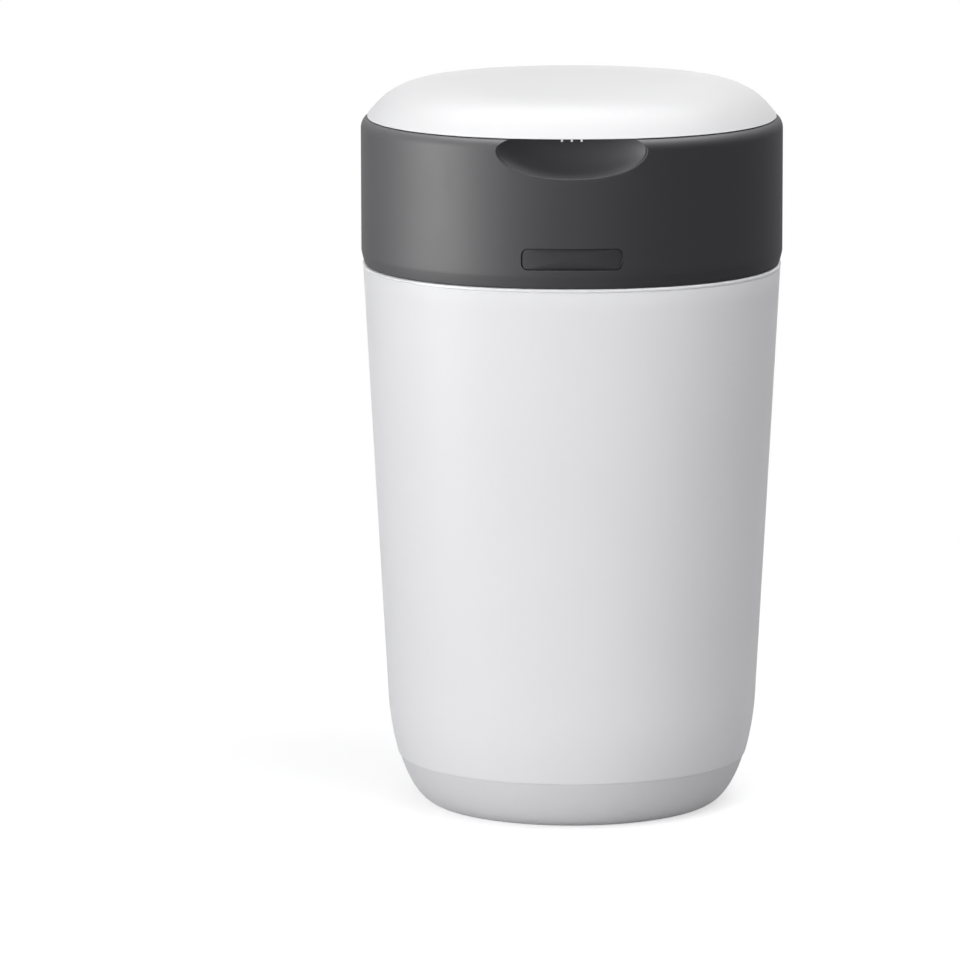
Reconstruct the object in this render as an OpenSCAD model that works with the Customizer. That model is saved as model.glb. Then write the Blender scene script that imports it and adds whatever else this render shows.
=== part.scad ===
// Nappy bin: a tapered tub, a hinged head with a lid, and a turning film cassette inside.
// Millimetres, +Z up, front towards -Y, origin at the centre of the foot on the floor.

/* [Body] */
// Width of the head, left to right
body_w = 264; // [250:1:280]
// Depth of the head, front to back
body_d = 256; // [246:1:270]
// Roundness of the plan outline: 2 is an ellipse, more is squarer
plan_n = 2.2; // [2.1:0.05:2.6]
// Height of the parting plane between tub and head
seam_z = 345; // [300:1:400]
// Height of the head above the parting plane
head_h = 91.5; // [88:0.5:100]
// Wall of the moulded shells
wall = 2.6; // [2:0.1:3.2]
// Points round a lofted shell
round_steps = 72; // [48:12:96]

/* [Tub] */
// Slope of each side wall, in degrees
draft = 3.04; // [1:0.02:4]
// How far the tub stands in from the head
tub_inset = 1.2; // [0.8:0.1:4]
// Height of the rounded base
roll_h = 70; // [40:1:90]
// How far the rounded base turns in
roll_in = 26; // [15:1:32]
// Height of the crease round the base
crease_z = 31; // [20:1:40]
// Depth of the crease
crease_step = 0.6; // [0.2:0.1:1]
// Width of the foot that stands on the floor
foot_w = 7; // [4:1:12]
// Depth of the recess under the base
foot_recess = 3; // [1:0.5:6]
// Thickness of the tub's floor
floor_t = 3; // [2:0.5:5]

/* [Rim ring] */
// Height of the bead that shows under the head
bead_h = 2.2; // [1.6:0.1:3]
// How far the spigot reaches into the tub
spigot_h = 12; // [8:1:20]
// Thickness of the spigot
spigot_t = 2.2; // [1.6:0.1:3]

/* [Head] */
// Height of the head's rounded lower edge, and its radius about the hinge
low_r = 8; // [7:0.5:10]
// How far the head's lower edge turns in
low_in = 3; // [2:0.5:6]
// Radius of the head's upper edge
top_r = 7.5; // [6:0.5:9]
// Width of the land that the lid closes on
land_w = 5; // [3:0.5:6]
// Drop from the land to the deck
deck_drop = 3; // [2:0.5:4]
// How far the round well in the deck stands in from the head
well_in = 24.5; // [23:0.5:25]
// Depth of the lip round the well
well_lip = 7; // [4:0.5:9]
// Half width of the finger scoop
scoop_w = 50; // [30:0.5:54]
// Half height of the finger scoop
scoop_h = 17.4; // [12:0.2:20]
// Depth of the finger scoop, front to back
scoop_d = 15; // [10:0.5:16]
// Drop from the lid's edge to the scoop's widest line
scoop_drop = 6.5; // [4:0.5:8]
// Radius of the screw bosses
boss_r = 4.2; // [3.5:0.1:5]
// How far the screw bosses stand in from the head
boss_in = 16; // [15:0.5:18]

/* [Lid] */
// How far the lid's edge stands in from the head
lid_inset = 4; // [3:0.1:6]
// Gap between the lid's edge and the land
lid_gap = 0.4; // [0.3:0.1:1]
// Height of the lid's crown above its edge
lid_rise = 22.2; // [14:0.2:26]
// Fullness of the crown: more is flatter on top with a tighter edge
lid_full = 8.2; // [4:0.2:12]
// Thickness of the liner inside the lid
liner_t = 2; // [1.5:0.1:3]
// Drop of the pull ribs under the lid's front edge
rib_drop = 1.5; // [1:0.5:4]
// Spacing of the pull ribs
rib_pitch = 6.5; // [4:0.5:8]
// Width of a pull rib
rib_w = 1.3; // [1:0.1:2.4]
// Length of a pull rib, front to back
rib_l = 7.4; // [5:0.2:9]
// Radius of the posts that take the lid's screws
lid_post_r = 4; // [3:0.1:5]
// How far the liner's stiffening ring stands in from the seal
liner_ring_in = 24; // [20:1:30]

/* [Hinges] */
// Radius of the head's hinge pin
head_pin_r = 1.8; // [1.5:0.1:2.2]
// Radius of the head's hinge knuckles
head_knuckle_r = 4.8; // [4.4:0.1:5]
// Radius of the lid's hinge pin
lid_pin_r = 1.4; // [1.2:0.1:1.6]
// Radius of the lid's hinge knuckles
lid_knuckle_r = 3.3; // [3:0.1:3.4]
// Length of a hinge knuckle
knuckle_l = 10; // [8:0.5:12]
// Distance of the lid's hinge axis from the back of the head
lid_axis_in = 10; // [9:0.5:11]
// Drop of the lid's hinge axis below the lid's edge
lid_axis_drop = 3.5; // [3.5:0.1:4]
// Half width of the hinge notch in the back of the head
notch_w = 50; // [46:1:54]
// Depth of the hinge notch below the lid's edge
notch_drop = 12.5; // [11:0.5:14]

/* [Cassette] */
// Width of the cassette, from its tube's bore to its flange
cassette_w = 30.5; // [28:0.5:34]
// Height that the tube stands above the top ring
tube_rise = 8; // [4:0.5:9]
// Wall of the cassette's pieces
cassette_wall = 1.8; // [1.4:0.1:2.4]
// Width of the top ring
top_ring_w = 8; // [6:0.5:12]
// Drop from the top ring's face to the cup's flange
top_ring_h = 5.5; // [4.5:0.1:7]
// Width of a clip's window
clip_w = 14; // [10:1:18]
// Windows of the clips round the top ring
clip_windows = 9; // [6:1:12]
// Pleats of the packed film
pleats = 14; // [8:1:18]
// Clearance round the packed film
film_gap = 1.2; // [0.8:0.1:2]

/* [Turntable] */
// Wall of the turntable
turn_wall = 2.5; // [2:0.1:3]
// Teeth of the ratchet
teeth = 36; // [24:12:48]
// Height of a ratchet tooth
tooth_h = 4; // [3:0.2:5]
// Height of the carrier, from the chassis plate to the cassette's floor
carrier_h = 16.2; // [15.8:0.1:18]
// Width of the twist ring
twist_w = 20; // [18:0.5:22]
// Gap between the twist ring and the well
twist_gap = 1.5; // [1:0.1:3]
// Height of the twist ring
twist_h = 9; // [8:0.5:10]
// Finger fins on the twist ring
fins = 8; // [6:1:12]
// Height of a finger fin
fin_h = 4.5; // [3:0.5:6]
// Thickness of a finger fin
fin_t = 2.8; // [2:0.2:4]

/* [Chassis] */
// Thickness of the chassis plate
plate_t = 3; // [2.5:0.1:4]
// Height of the plate's top above the parting plane
plate_up = 11; // [11:0.5:12]
// How far the chassis plate stands in from the head
plate_in = 9; // [8:0.5:10]
// How far the throat in the chassis stands out from the cassette's bore
throat_out = 8.5; // [7:0.5:8.5]
// Length of a petal
petal_l = 26; // [20:1:30]
// Width of the petals' flange under its clamp
flange_w = 12; // [8:1:14]
// Number of petals
petals = 12; // [8:1:16]
// How far the cutter's blade reaches into the throat
cutter_reach = 18; // [14:1:22]
// Width of the cutter's ring
cutter_w = 11.7; // [10:0.1:13]
// Height of the collar that carries the cutter's ring
collar_h = 10; // [9:0.5:12]
// Radius of a screw's head
screw_head_r = 3.2; // [2.8:0.1:3.6]
// Height of a screw's head
screw_head_h = 2; // [1.5:0.1:2.5]

/* [Button] */
// Width of the button's face
button_w = 61.6; // [50:0.2:66]
// Height of the button's face
button_h = 12.8; // [11:0.2:14]
// Radius of the button's corners
button_corner = 3.8; // [2:0.1:5]
// Height of the button's middle above the parting plane
button_up = 18.1; // [18:0.1:20]
// Travel of the button
button_travel = 3; // [2.5:0.1:3]
// Half width of the button's leg and hook
hook_w = 8; // [6:0.5:10]

/* [Fits] */
// Gap between pieces that move past each other
gap = 0.3; // [0.3:0.05:0.4]
// Radial clearance of a pin or shaft in its bore
fit = 0.05; // [0.03:0.01:0.08]

/* [Hidden] */

$fn = 96;
FINE = 0.01;
half_w = body_w / 2;
half_d = body_d / 2;
mid_r = min(half_w, half_d);
base_n = 2;

// Heights of the tub and its rim ring
bead_top = seam_z - gap - 0.1;
tub_top = bead_top - bead_h;
floor_z = foot_recess + floor_t;

// Head
lid_z = seam_z + head_h;
land_z = lid_z - lid_gap;
deck_z = land_z - deck_drop;
deck_under = deck_z - wall;
land_in = lid_inset + 0.4;
top_turn = acos((top_r - land_in) / top_r);
deck_in = land_in + land_w;
well_r = mid_r - well_in;
well_bottom = deck_z - 2 - well_lip;

// Chassis and hinge of the head
plate_z = seam_z + plate_up;
plate_low = plate_z - plate_t;
head_axis_y = half_d - low_r;
head_axis_z = seam_z + low_r;
base_lug = [6, 6.7 + knuckle_l];
head_lug = [base_lug[1] + gap, base_lug[1] + gap + knuckle_l];
boss_angles = [15, 60, 120, 165, 225, 315];
boss_ring_r = mid_r - boss_in;
boss_web = boss_in + 2;
screw_r = 1.5;
screw_l = plate_t + 13;
lid_screw_l = liner_t + 9;
hook_t = button_travel - 0.8;
strike_t = low_r + 0.4 - tub_inset - wall - gap - spigot_t;

// Hinge of the lid
lid_axis_y = half_d - lid_axis_in;
lid_axis_z = lid_z - lid_axis_drop;
notch_z = lid_z - notch_drop;
notch_front = lid_axis_y - lid_axis_in;
lid_lug = [knuckle_l, 2 * knuckle_l];
side_lug = [lid_lug[1] + gap, lid_lug[1] + gap + knuckle_l - 1];
notch_r = 4;

// Turntable and cassette
twist_r = well_r - twist_gap;
cassette_r = twist_r - twist_w;
tube_r = cassette_r - cassette_w;
turn_in = cassette_r + 1.5;
turn_out = turn_in + turn_wall;
tube_top = deck_z - 1.1;
cassette_z = plate_z + carrier_h;
cassette_h = tube_top - tube_rise - cassette_z;
turn_floor = cassette_z;
turn_low = turn_floor - turn_wall;
race_top = turn_low - 3.5 - gap;
race_in = turn_out + 1;
race_out = race_in + 4;
teeth_in = turn_out + 6;
teeth_out = teeth_in + tooth_h;
cup_r = cassette_r - 2;
cup_top = cassette_z + cassette_h - top_ring_h;
tube_out = tube_r + cassette_wall;
film_in = tube_out + 2 + film_gap;
film_out = cup_r - cassette_wall - film_gap;
film_low = cassette_z + cassette_wall + 2.2;
film_top = cassette_z + cassette_h - 3;
key_r = (film_in + film_out) / 2;

// Petals and cutter in the throat
throat_r = tube_r + throat_out;
petal_hole_r = throat_r - petal_l;
petal_t = 1.2;
blade_r = throat_r - cutter_reach;
blade_t = 0.6;
arm_t = 3;
cutter_turn = 60;
collar_t = 1.8;
collar_low = plate_low - collar_h;
collar_lip = 2;
cut_in = throat_r + collar_t + 0.5;
cut_out = cut_in + cutter_w;
cut_low = collar_low + collar_lip + gap;
cut_top = plate_low - gap;
arm_z = collar_low - arm_t - 1.5;

// Liner, seal and screws of the lid
liner_z = lid_z + 2.5;
seal_r = well_r + 3.5;
lid_screws_at = [for (a = [45 : 90 : 315]) polar(seal_r - liner_ring_in - 2 * lid_post_r - 1, a)];

function polar(r, a) = [r * cos(a), r * sin(a)];

// Plan of the shells: a rounded square that is nearly a circle
function plan_point(a, b, n, t) =
    [a * sign(cos(t)) * pow(abs(cos(t)), 2 / n), b * sign(sin(t)) * pow(abs(sin(t)), 2 / n)];
function plan(a, b, n) = [for (i = [0 : round_steps - 1]) plan_point(a, b, n, 360 * i / round_steps)];
// A level ring of points that stands in from the head's outline
function inset_ring(in, z, n = plan_n) = [for (p = plan(half_w - in, half_d - in, n)) [p[0], p[1], z]];
function round_ring(r, z) = [for (p = plan(r, r, 2)) [p[0], p[1], z]];
function lid_ring(k, in, z) =
    [for (p = plan((half_w - lid_inset - in) * k, (half_d - lid_inset - in) * k, plan_n)) [p[0], p[1], z]];

// Outer surface of the tub: its inset from the head and its plan at a height
function roll(z) = z >= roll_h ? 0 : roll_in * (1 - sqrt(1 - pow((roll_h - z) / roll_h, 2)));
function tub_in(z) =
    tub_inset + (tub_top - z) * tan(draft) + roll(z) + (z < crease_z ? crease_step : 0);
function tub_n(z) = base_n + (plan_n - base_n) * z / tub_top;
function tub_ring(z, in = 0) = inset_ring(tub_in(z) + in, z, tub_n(z));

// A skin over a row of rings, closed by a cap at each end or back on itself
module loft(rings, closed = false) {
    s = len(rings[0]);
    last = len(rings) - 1;
    sides = [for (k = [0 : closed ? last : last - 1]) let (up = (k + 1) % (last + 1)) for (i = [0 : s - 1])
        let (j = (i + 1) % s)
        each [[k * s + i, up * s + i, up * s + j], [k * s + i, up * s + j, k * s + j]]];
    caps = closed ? [] : [[for (i = [0 : s - 1]) i], [for (i = [s - 1 : -1 : 0]) last * s + i]];
    polyhedron([for (r = rings) each r], concat(sides, caps), convexity = 6);
}

// A ring with a square section
module tube(r_in, r_out, z, h) {
    translate([0, 0, z]) difference() {
        cylinder(r = r_out, h = h);
        translate([0, 0, -1]) cylinder(r = r_in, h = h + 2);
    }
}

// A bar with round ends that lies along X
module bar(x0, x1, r, y, z, fn = 96) {
    translate([x0, y, z]) rotate([0, 90, 0]) cylinder(r = r, h = x1 - x0, $fn = fn);
}

// A box between two corners
module box(low, high) {
    translate(low) cube(high - low);
}

// A copy on each side of the middle
module both_sides() {
    children();
    mirror([1, 0, 0]) children();
}

// A block with rounded upright edges, hulled from four posts
module soft_block(low, high, r) {
    hull() for (x = [low[0] + r, high[0] - r], y = [low[1] + r, high[1] - r])
        translate([x, y, low[2]]) cylinder(r = r, h = high[2] - low[2], $fn = 24);
}

// A rounded plate in the XZ plane, pushed along Y
module face_block(w, h, z, y0, y1, r) {
    translate([0, y0, z]) rotate([-90, 0, 0]) linear_extrude(y1 - y0) {
        square([w - 2 * r, h], center = true);
        square([w, h - 2 * r], center = true);
        for (x = [-1, 1], y = [-1, 1]) translate([x * (w / 2 - r), y * (h / 2 - r)]) circle(r = r, $fn = 32);
    }
}

// ---- Tub ----

// Heights of the rings up the rounded base, closer together near the floor
function base_heights(steps) = [for (i = [0 : steps]) roll_h * (1 - cos(90 * i / steps))];
low_heights = [for (z = base_heights(9)) if (z < crease_z) z];
high_heights = [for (z = base_heights(9)) if (z > crease_z) z];
inner_heights = [for (z = base_heights(6)) if (z > floor_z) z];

module tub() {
    foot_in = tub_in(0) + foot_w;
    color("whitesmoke") loft(concat(
        [inset_ring(foot_in + 2, foot_recess, base_n), inset_ring(foot_in, 0, base_n)],
        [for (z = low_heights) tub_ring(z)],
        [tub_ring(crease_z - FINE), tub_ring(crease_z)],
        [for (z = high_heights) tub_ring(z)],
        [tub_ring((roll_h + tub_top) / 2), tub_ring(tub_top), tub_ring(tub_top, wall)],
        [for (i = [len(inner_heights) - 1 : -1 : 0]) tub_ring(inner_heights[i], wall)],
        [tub_ring(floor_z, wall)]
    ));
}

// ---- Rim ring with the fixed hinge lugs and the latch's strike ----

module rim_ring() {
    spigot_in = tub_inset + wall + gap;
    spigot_low = tub_top - spigot_h;
    taper = spigot_h * tan(draft);
    bead_in = tub_inset - 0.4;
    neck = head_knuckle_r - 2;
    strike_w = hook_w + 4;
    pocket_w = hook_w + 2;
    strike = [seam_z - 7, seam_z - 4];
    front = spigot_in + spigot_t - half_d;
    color("gainsboro") difference() {
        union() {
            loft([
                inset_ring(tub_inset + 0.4, tub_top),
                inset_ring(bead_in, tub_top + 0.6),
                inset_ring(bead_in, bead_top - 0.5),
                inset_ring(bead_in + 0.7, bead_top),
                inset_ring(spigot_in + spigot_t, bead_top),
                inset_ring(spigot_in + spigot_t + taper, spigot_low),
                inset_ring(spigot_in + taper, spigot_low),
                inset_ring(spigot_in, tub_top)
            ], closed = true);
            both_sides() {
                bar(base_lug[0], base_lug[1], head_knuckle_r, head_axis_y, head_axis_z);
                box([base_lug[0], head_axis_y - neck, bead_top - 1],
                    [base_lug[1], head_axis_y + neck, head_axis_z]);
                box([base_lug[0], head_axis_y - neck - 1, spigot_low + 1],
                    [base_lug[1], head_axis_y - 1, bead_top]);
            }
            box([-strike_w, front - 0.5, strike[0]], [strike_w, front + strike_t, strike[1]]);
        }
        box([-pocket_w, front - spigot_t + 0.9, spigot_low - 1], [pocket_w, front + 2, strike[0]]);
        bar(-base_lug[1] - 1, base_lug[1] + 1, head_pin_r + fit, head_axis_y, head_axis_z);
    }
}

module head_hinge_pin() {
    color("silver") bar(-head_lug[1] + 1, head_lug[1] - 1, head_pin_r, head_axis_y, head_axis_z);
}

// ---- Head ----

// Outer faces of the head from its lower edge to the land
edge_steps = 5;
low_edge = [for (i = [edge_steps : -1 : 0]) let (t = 90 * i / edge_steps)
    [low_in * (1 - cos(t)), head_axis_z - low_r * sin(t)]];
top_edge = [for (t = [0 : top_turn / 4 : top_turn + FINE])
    [top_r * (1 - cos(t)), land_z - top_r * (sin(top_turn) - sin(t))]];
low_edge_inner = [for (i = [0 : edge_steps]) let (t = 90 * i / edge_steps)
    [wall + low_in * (1 - cos(t)), head_axis_z - (low_r - wall) * sin(t)]];

module head_skin() {
    loft(concat(
        [for (p = low_edge) inset_ring(p[0], p[1])],
        [for (p = top_edge) inset_ring(p[0], p[1])],
        [inset_ring(deck_in - 1, land_z), inset_ring(deck_in, deck_z)],
        [round_ring(well_r + 2, deck_z - 0.4), round_ring(well_r + 0.4, deck_z - 1.4)],
        [round_ring(well_r, deck_z - 2.4), round_ring(well_r, well_bottom)],
        [round_ring(well_r + 2, well_bottom), round_ring(well_r + 2, deck_under)],
        [inset_ring(deck_in, deck_under), inset_ring(wall, land_z - top_r - 1)],
        [for (p = low_edge_inner) inset_ring(p[0], p[1])],
        [inset_ring(wall + low_in, seam_z)]
    ), closed = true);
}

// The head's outer form, filled, to trim what is moulded on its inside
module head_fill() {
    loft(concat(
        [for (p = low_edge) inset_ring(p[0], p[1])],
        [for (p = top_edge) inset_ring(p[0], p[1])],
        [inset_ring(deck_in - 1, land_z)]
    ));
}

// The finger scoop, grown by a wall for its shell
module scoop(grow = 0) {
    translate([0, -half_d, lid_z - scoop_drop])
        scale([scoop_w + grow, scoop_d + grow, scoop_h + grow]) sphere(r = 1, $fn = 44);
}

module notch(grow, low, high) {
    soft_block([-notch_w - grow, notch_front - grow, low], [notch_w + grow, half_d + 10, high], notch_r);
}

// What would dip below the seam at the back when the head swings open
module swing_relief() {
    translate([-half_w, head_axis_y, head_axis_z]) rotate([90, 0, 90]) linear_extrude(2 * half_w) difference() {
        translate([0, -low_r - 1]) square(low_r + 1);
        circle(r = low_r, $fn = 40);
    }
}

module boss_at(a) {
    rotate(a) translate([boss_ring_r, 0, 0]) children();
}

module head_cover() {
    window_z = seam_z + button_up;
    color("dimgray") difference() {
        union() {
            head_skin();
            intersection() {
                head_fill();
                union() {
                    scoop(wall);
                    notch(wall, notch_z - wall, deck_z);
                    face_block(button_w + 8, button_h + 8, window_z, -half_d - 1, 7 - half_d, button_corner + 2);
                }
            }
            intersection() {
                head_fill();
                for (a = boss_angles) boss_at(a) hull() {
                    translate([0, 0, plate_z]) cylinder(r = boss_r, h = deck_under + 1 - plate_z, $fn = 24);
                    translate([boss_web, 0, plate_z + 8])
                        cylinder(r = 1, h = deck_under - 7 - plate_z, $fn = 8);
                }
            }
        }
        scoop();
        swing_relief();
        notch(0, notch_z, lid_z + 5);
        face_block(button_w + 2 * gap, button_h + 2 * gap, window_z, -half_d - 2, 20 - half_d, button_corner + gap);
        for (a = boss_angles) boss_at(a) translate([0, 0, plate_z - 1])
            cylinder(r = screw_r + 0.3, h = screw_l + 4, $fn = 16);
        bar(-head_lug[1] - 1, head_lug[1] + 1, head_knuckle_r + gap, head_axis_y, head_axis_z, 48);
        both_sides() box([base_lug[0] - 0.5, head_axis_y - head_knuckle_r, seam_z - 1],
                         [base_lug[1] + 0.5, half_d + 2, head_axis_z + 6]);
    }
}

// Carries the lid's pin in the notch at the back of the head
module lid_hinge_bracket() {
    foot = 2;
    side = notch_w - notch_r - gap;
    neck = [lid_axis_y - 6, lid_axis_y - 0.5];
    color("dimgray") difference() {
        union() {
            intersection() {
                box([-side, notch_front + gap, notch_z], [side, half_d, notch_z + foot]);
                translate([0, 0, notch_z]) linear_extrude(foot + 1)
                    polygon(plan(half_w - 1, half_d - 1, plan_n));
            }
            both_sides() {
                bar(side_lug[0], side_lug[1], lid_knuckle_r, lid_axis_y, lid_axis_z);
                box([side_lug[0], neck[0], notch_z + 1], [side_lug[1], neck[1], lid_axis_z]);
            }
            bar(gap - lid_lug[0], lid_lug[0] - gap, lid_knuckle_r, lid_axis_y, lid_axis_z);
            box([gap - lid_lug[0], neck[0], notch_z + 1], [lid_lug[0] - gap, neck[1], lid_axis_z]);
        }
        bar(-side_lug[1] - 1, side_lug[1] + 1, lid_pin_r + fit, lid_axis_y, lid_axis_z);
    }
}

module lid_hinge_pin() {
    color("silver") bar(1 - side_lug[1], side_lug[1] - 1, lid_pin_r, lid_axis_y, lid_axis_z);
}

// Plate under the cassette: race, throat, cutter collar, hinge knuckles and latch guides
module head_chassis() {
    leg = hook_w + gap;
    rail = [plate_in + 2 - half_d, plate_in + 14 - half_d];
    web_out = mid_r - plate_in - 14;
    color("gray") difference() {
        union() {
            translate([0, 0, plate_low]) linear_extrude(plate_t) difference() {
                polygon(plan(half_w - plate_in, half_d - plate_in, plan_n));
                circle(r = throat_r);
            }
            tube(race_in, race_out, plate_z - 1, race_top - plate_z + 1);
            tube(throat_r, throat_r + collar_t, collar_low, plate_low - collar_low + 1);
            tube(throat_r, throat_r + collar_t + collar_lip, collar_low, collar_lip);
            for (a = [10 : 20 : 350]) rotate(a)
                box([cut_out + 3, -1, plate_low - 4], [web_out, 1, plate_low + 1]);
            tube(web_out - 1, web_out + 1, plate_low - 4, 5);
            both_sides() {
                bar(head_lug[0], head_lug[1], head_knuckle_r, head_axis_y, head_axis_z);
                box([head_lug[0], half_d - plate_in - 12, plate_low], [head_lug[1], head_axis_y, plate_z]);
                box([leg, rail[0], plate_z - 1], [leg + 2, rail[1], plate_z + 8]);
            }
            boss_pawl() cylinder(r = 3, h = race_top - plate_z + 1);
            boss_pawl() cylinder(r = screw_r, h = race_top + gap + pawl_t + 1 - plate_z + 1);
        }
        bar(-head_lug[1] - 1, head_lug[1] + 1, head_pin_r + fit, head_axis_y, head_axis_z);
        both_sides() box([base_lug[0] - gap, head_axis_y - head_knuckle_r - 0.7, plate_low - 5],
                         [base_lug[1] + gap, half_d, plate_z + 5]);
        box([-leg, -half_d, plate_low - 5], [leg, rail[1] - 2, plate_z + 1]);
        for (a = boss_angles) boss_at(a) translate([0, 0, plate_low - 1])
            cylinder(r = screw_r + 0.2, h = plate_t + 2);
    }
}

module chassis_screws() {
    color("silver") for (a = boss_angles) boss_at(a) {
        translate([0, 0, plate_low - screw_head_h]) cylinder(r = screw_head_r, h = screw_head_h);
        translate([0, 0, plate_low - 1]) cylinder(r = screw_r, h = 1 + screw_l);
    }
}

// Soft petals in one moulding that grip the film as it goes down
module gripper_ring() {
    root = throat_r - 1;
    flange = throat_r + flange_w;
    tip_z = plate_z - 5.5;
    color("darkgray") difference() {
        rotate_extrude() polygon([
            [flange, plate_z], [flange, plate_z + 2], [root, plate_z + 2],
            [petal_hole_r, tip_z], [petal_hole_r, tip_z - petal_t], [root - 1, plate_z]
        ]);
        for (i = [0 : petals - 1]) rotate(360 * i / petals)
            box([petal_hole_r - 3, -0.6, plate_z - 12], [root - 3, 0.6, plate_z + 3]);
    }
}

module gripper_clamp() {
    color("gray") tube(throat_r, throat_r + flange_w + 2, plate_z + 2, 2.4);
}

// ---- Lid ----

crown_steps = [for (i = [0 : 9]) 1 - pow(i / 9.5, 2)];
function crown_z(k, rise) = lid_z + rise * (1 - pow(k, lid_full));

module lid_shell() {
    steps = len(crown_steps);
    lip_y = lid_inset - half_d;
    color("white") union() {
        loft(concat(
            [for (i = [steps - 1 : -1 : 0]) let (k = crown_steps[i]) lid_ring(k, wall, crown_z(k, lid_rise - wall))],
            [for (k = crown_steps) lid_ring(k, 0, crown_z(k, lid_rise))]
        ));
        for (i = [-1 : 1]) translate([i * rib_pitch, 0, 0])
            box([-rib_w / 2, lip_y + 0.6, lid_z - rib_drop], [rib_w / 2, lip_y + 0.6 + rib_l, lid_z + 0.6]);
        for (p = lid_screws_at) translate([p[0], p[1], liner_z + liner_t])
            difference() {
                cylinder(r = lid_post_r, h = lid_rise - wall - liner_t - 1);
                translate([0, 0, -1]) cylinder(r = screw_r + 0.2, h = lid_screw_l + 3);
            }
    }
}

module lid_liner() {
    in = lid_inset + wall;
    k = pow(1 - (liner_z + liner_t - lid_z) / (lid_rise - wall), 1 / lid_full);
    a = (half_w - in) * k - gap;
    b = (half_d - in) * k - gap;
    color("white") difference() {
        union() {
            translate([0, 0, liner_z]) linear_extrude(liner_t) polygon(plan(a, b, plan_n));
            tube(seal_r - liner_ring_in, seal_r - liner_ring_in + 2, liner_z - 1.5, 2);
            both_sides() {
                bar(lid_lug[0], lid_lug[1], lid_knuckle_r, lid_axis_y, lid_axis_z);
                box([lid_lug[0], lid_axis_y - lid_knuckle_r - 2, lid_axis_z],
                    [lid_lug[1], lid_axis_y - 1, liner_z + 1]);
            }
        }
        bar(-lid_lug[1] - 1, lid_lug[1] + 1, lid_pin_r + fit, lid_axis_y, lid_axis_z);
        for (p = lid_screws_at) translate([p[0], p[1], liner_z - 1])
            cylinder(r = screw_r + 0.2, h = liner_t + 2);
    }
}

module lid_seal() {
    low = deck_z + gap;
    color("darkgray") rotate_extrude() polygon([
        [seal_r - 1.8, liner_z], [seal_r + 1.8, liner_z], [seal_r + 1.2, low + 2],
        [seal_r + 1.8, low + 1], [seal_r, low], [seal_r - 1, low + 1.2]
    ]);
}

module lid_screws() {
    color("silver") for (p = lid_screws_at) translate([p[0], p[1], liner_z]) {
        translate([0, 0, -screw_head_h]) cylinder(r = screw_head_r, h = screw_head_h);
        translate([0, 0, -1]) cylinder(r = screw_r, h = 1 + lid_screw_l);
    }
}

// ---- Turning cassette carrier ----

// Ratchet: each tooth rises slowly and drops along a radius
module ratchet(h) {
    pitch = 360 / teeth;
    linear_extrude(h) difference() {
        polygon([for (i = [0 : teeth - 1]) each [
            [teeth_in * cos(i * pitch), teeth_in * sin(i * pitch)],
            [teeth_out * cos(i * pitch + 0.1), teeth_out * sin(i * pitch + 0.1)]
        ]]);
        circle(r = race_in - 1);
    }
}

module turntable() {
    flange_low = cup_top - 2;
    color("lightgray") difference() {
        union() {
            rotate_extrude() polygon([
                [throat_r, turn_low], [throat_r, turn_floor], [turn_in, turn_floor],
                [turn_in, flange_low], [turn_out + 4, flange_low], [turn_out + 4, flange_low - 2],
                [turn_out, flange_low - 5], [turn_out, turn_low + 2], [turn_out + 4, turn_low + 2],
                [turn_out + 4, race_top + gap], [race_in - fit, race_top + gap],
                [race_in - fit, plate_z + 5], [race_in - 3, plate_z + 5], [race_in - 3, turn_low]
            ]);
            translate([0, 0, race_top + gap]) ratchet(turn_low + 2 - race_top - gap);
            for (a = [0 : 90 : 270]) rotate(a)
                box([key_r - 3, -2.5, turn_floor - 1], [key_r + 3, 2.5, turn_floor + cassette_wall]);
        }
        for (a = [15 : 30 : 345]) rotate(a)
            box([turn_in - 2, -7, turn_floor + 12], [turn_out + 2, 7, flange_low - 10]);
    }
}

// White ring with fins, turned by hand to twist the film
module twist_ring() {
    low = cup_top - 2;
    top = low + twist_h;
    color("white") union() {
        rotate_extrude() polygon([
            [turn_in + 0.3, low], [turn_out + 4.2, low], [turn_out + 4.2, top - 3.2],
            [twist_r - 2.4, top - 3.2], [twist_r - 2.4, low + 1.5], [twist_r, low + 1.5],
            [twist_r, top - 2], [twist_r - 2, top],
            [turn_in + 2.3, top], [turn_in + 0.3, top - 1.5]
        ]);
        for (i = [0 : fins - 1]) rotate(360 * (i + 0.5) / fins) translate([0, 0, top - 0.5])
            linear_extrude(fin_h) {
                translate([turn_in + 5, -fin_t / 2]) square([twist_r - turn_in - 8, fin_t]);
                for (x = [turn_in + 5, twist_r - 3]) translate([x, 0]) circle(r = fin_t / 2, $fn = 32);
            }
    }
}

module cassette_cup() {
    socket = tube_out + 0.3;
    color("dimgray") difference() {
        rotate_extrude() polygon([
            [socket, cassette_z], [cup_r - 1, cassette_z], [cup_r, cassette_z + 1], [cup_r, cup_top - 2],
            [cassette_r, cup_top - 2], [cassette_r, cup_top], [cup_r - cassette_wall, cup_top],
            [cup_r - cassette_wall, cassette_z + cassette_wall],
            [socket + cassette_wall, cassette_z + cassette_wall],
            [socket + cassette_wall, cassette_z + 6], [socket, cassette_z + 6]
        ]);
        for (a = [0 : 90 : 270]) rotate(a)
            box([key_r - 3.4, -2.9, cassette_z - 1], [key_r + 3.4, 2.9, cassette_z + cassette_wall + 1]);
    }
}

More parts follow.
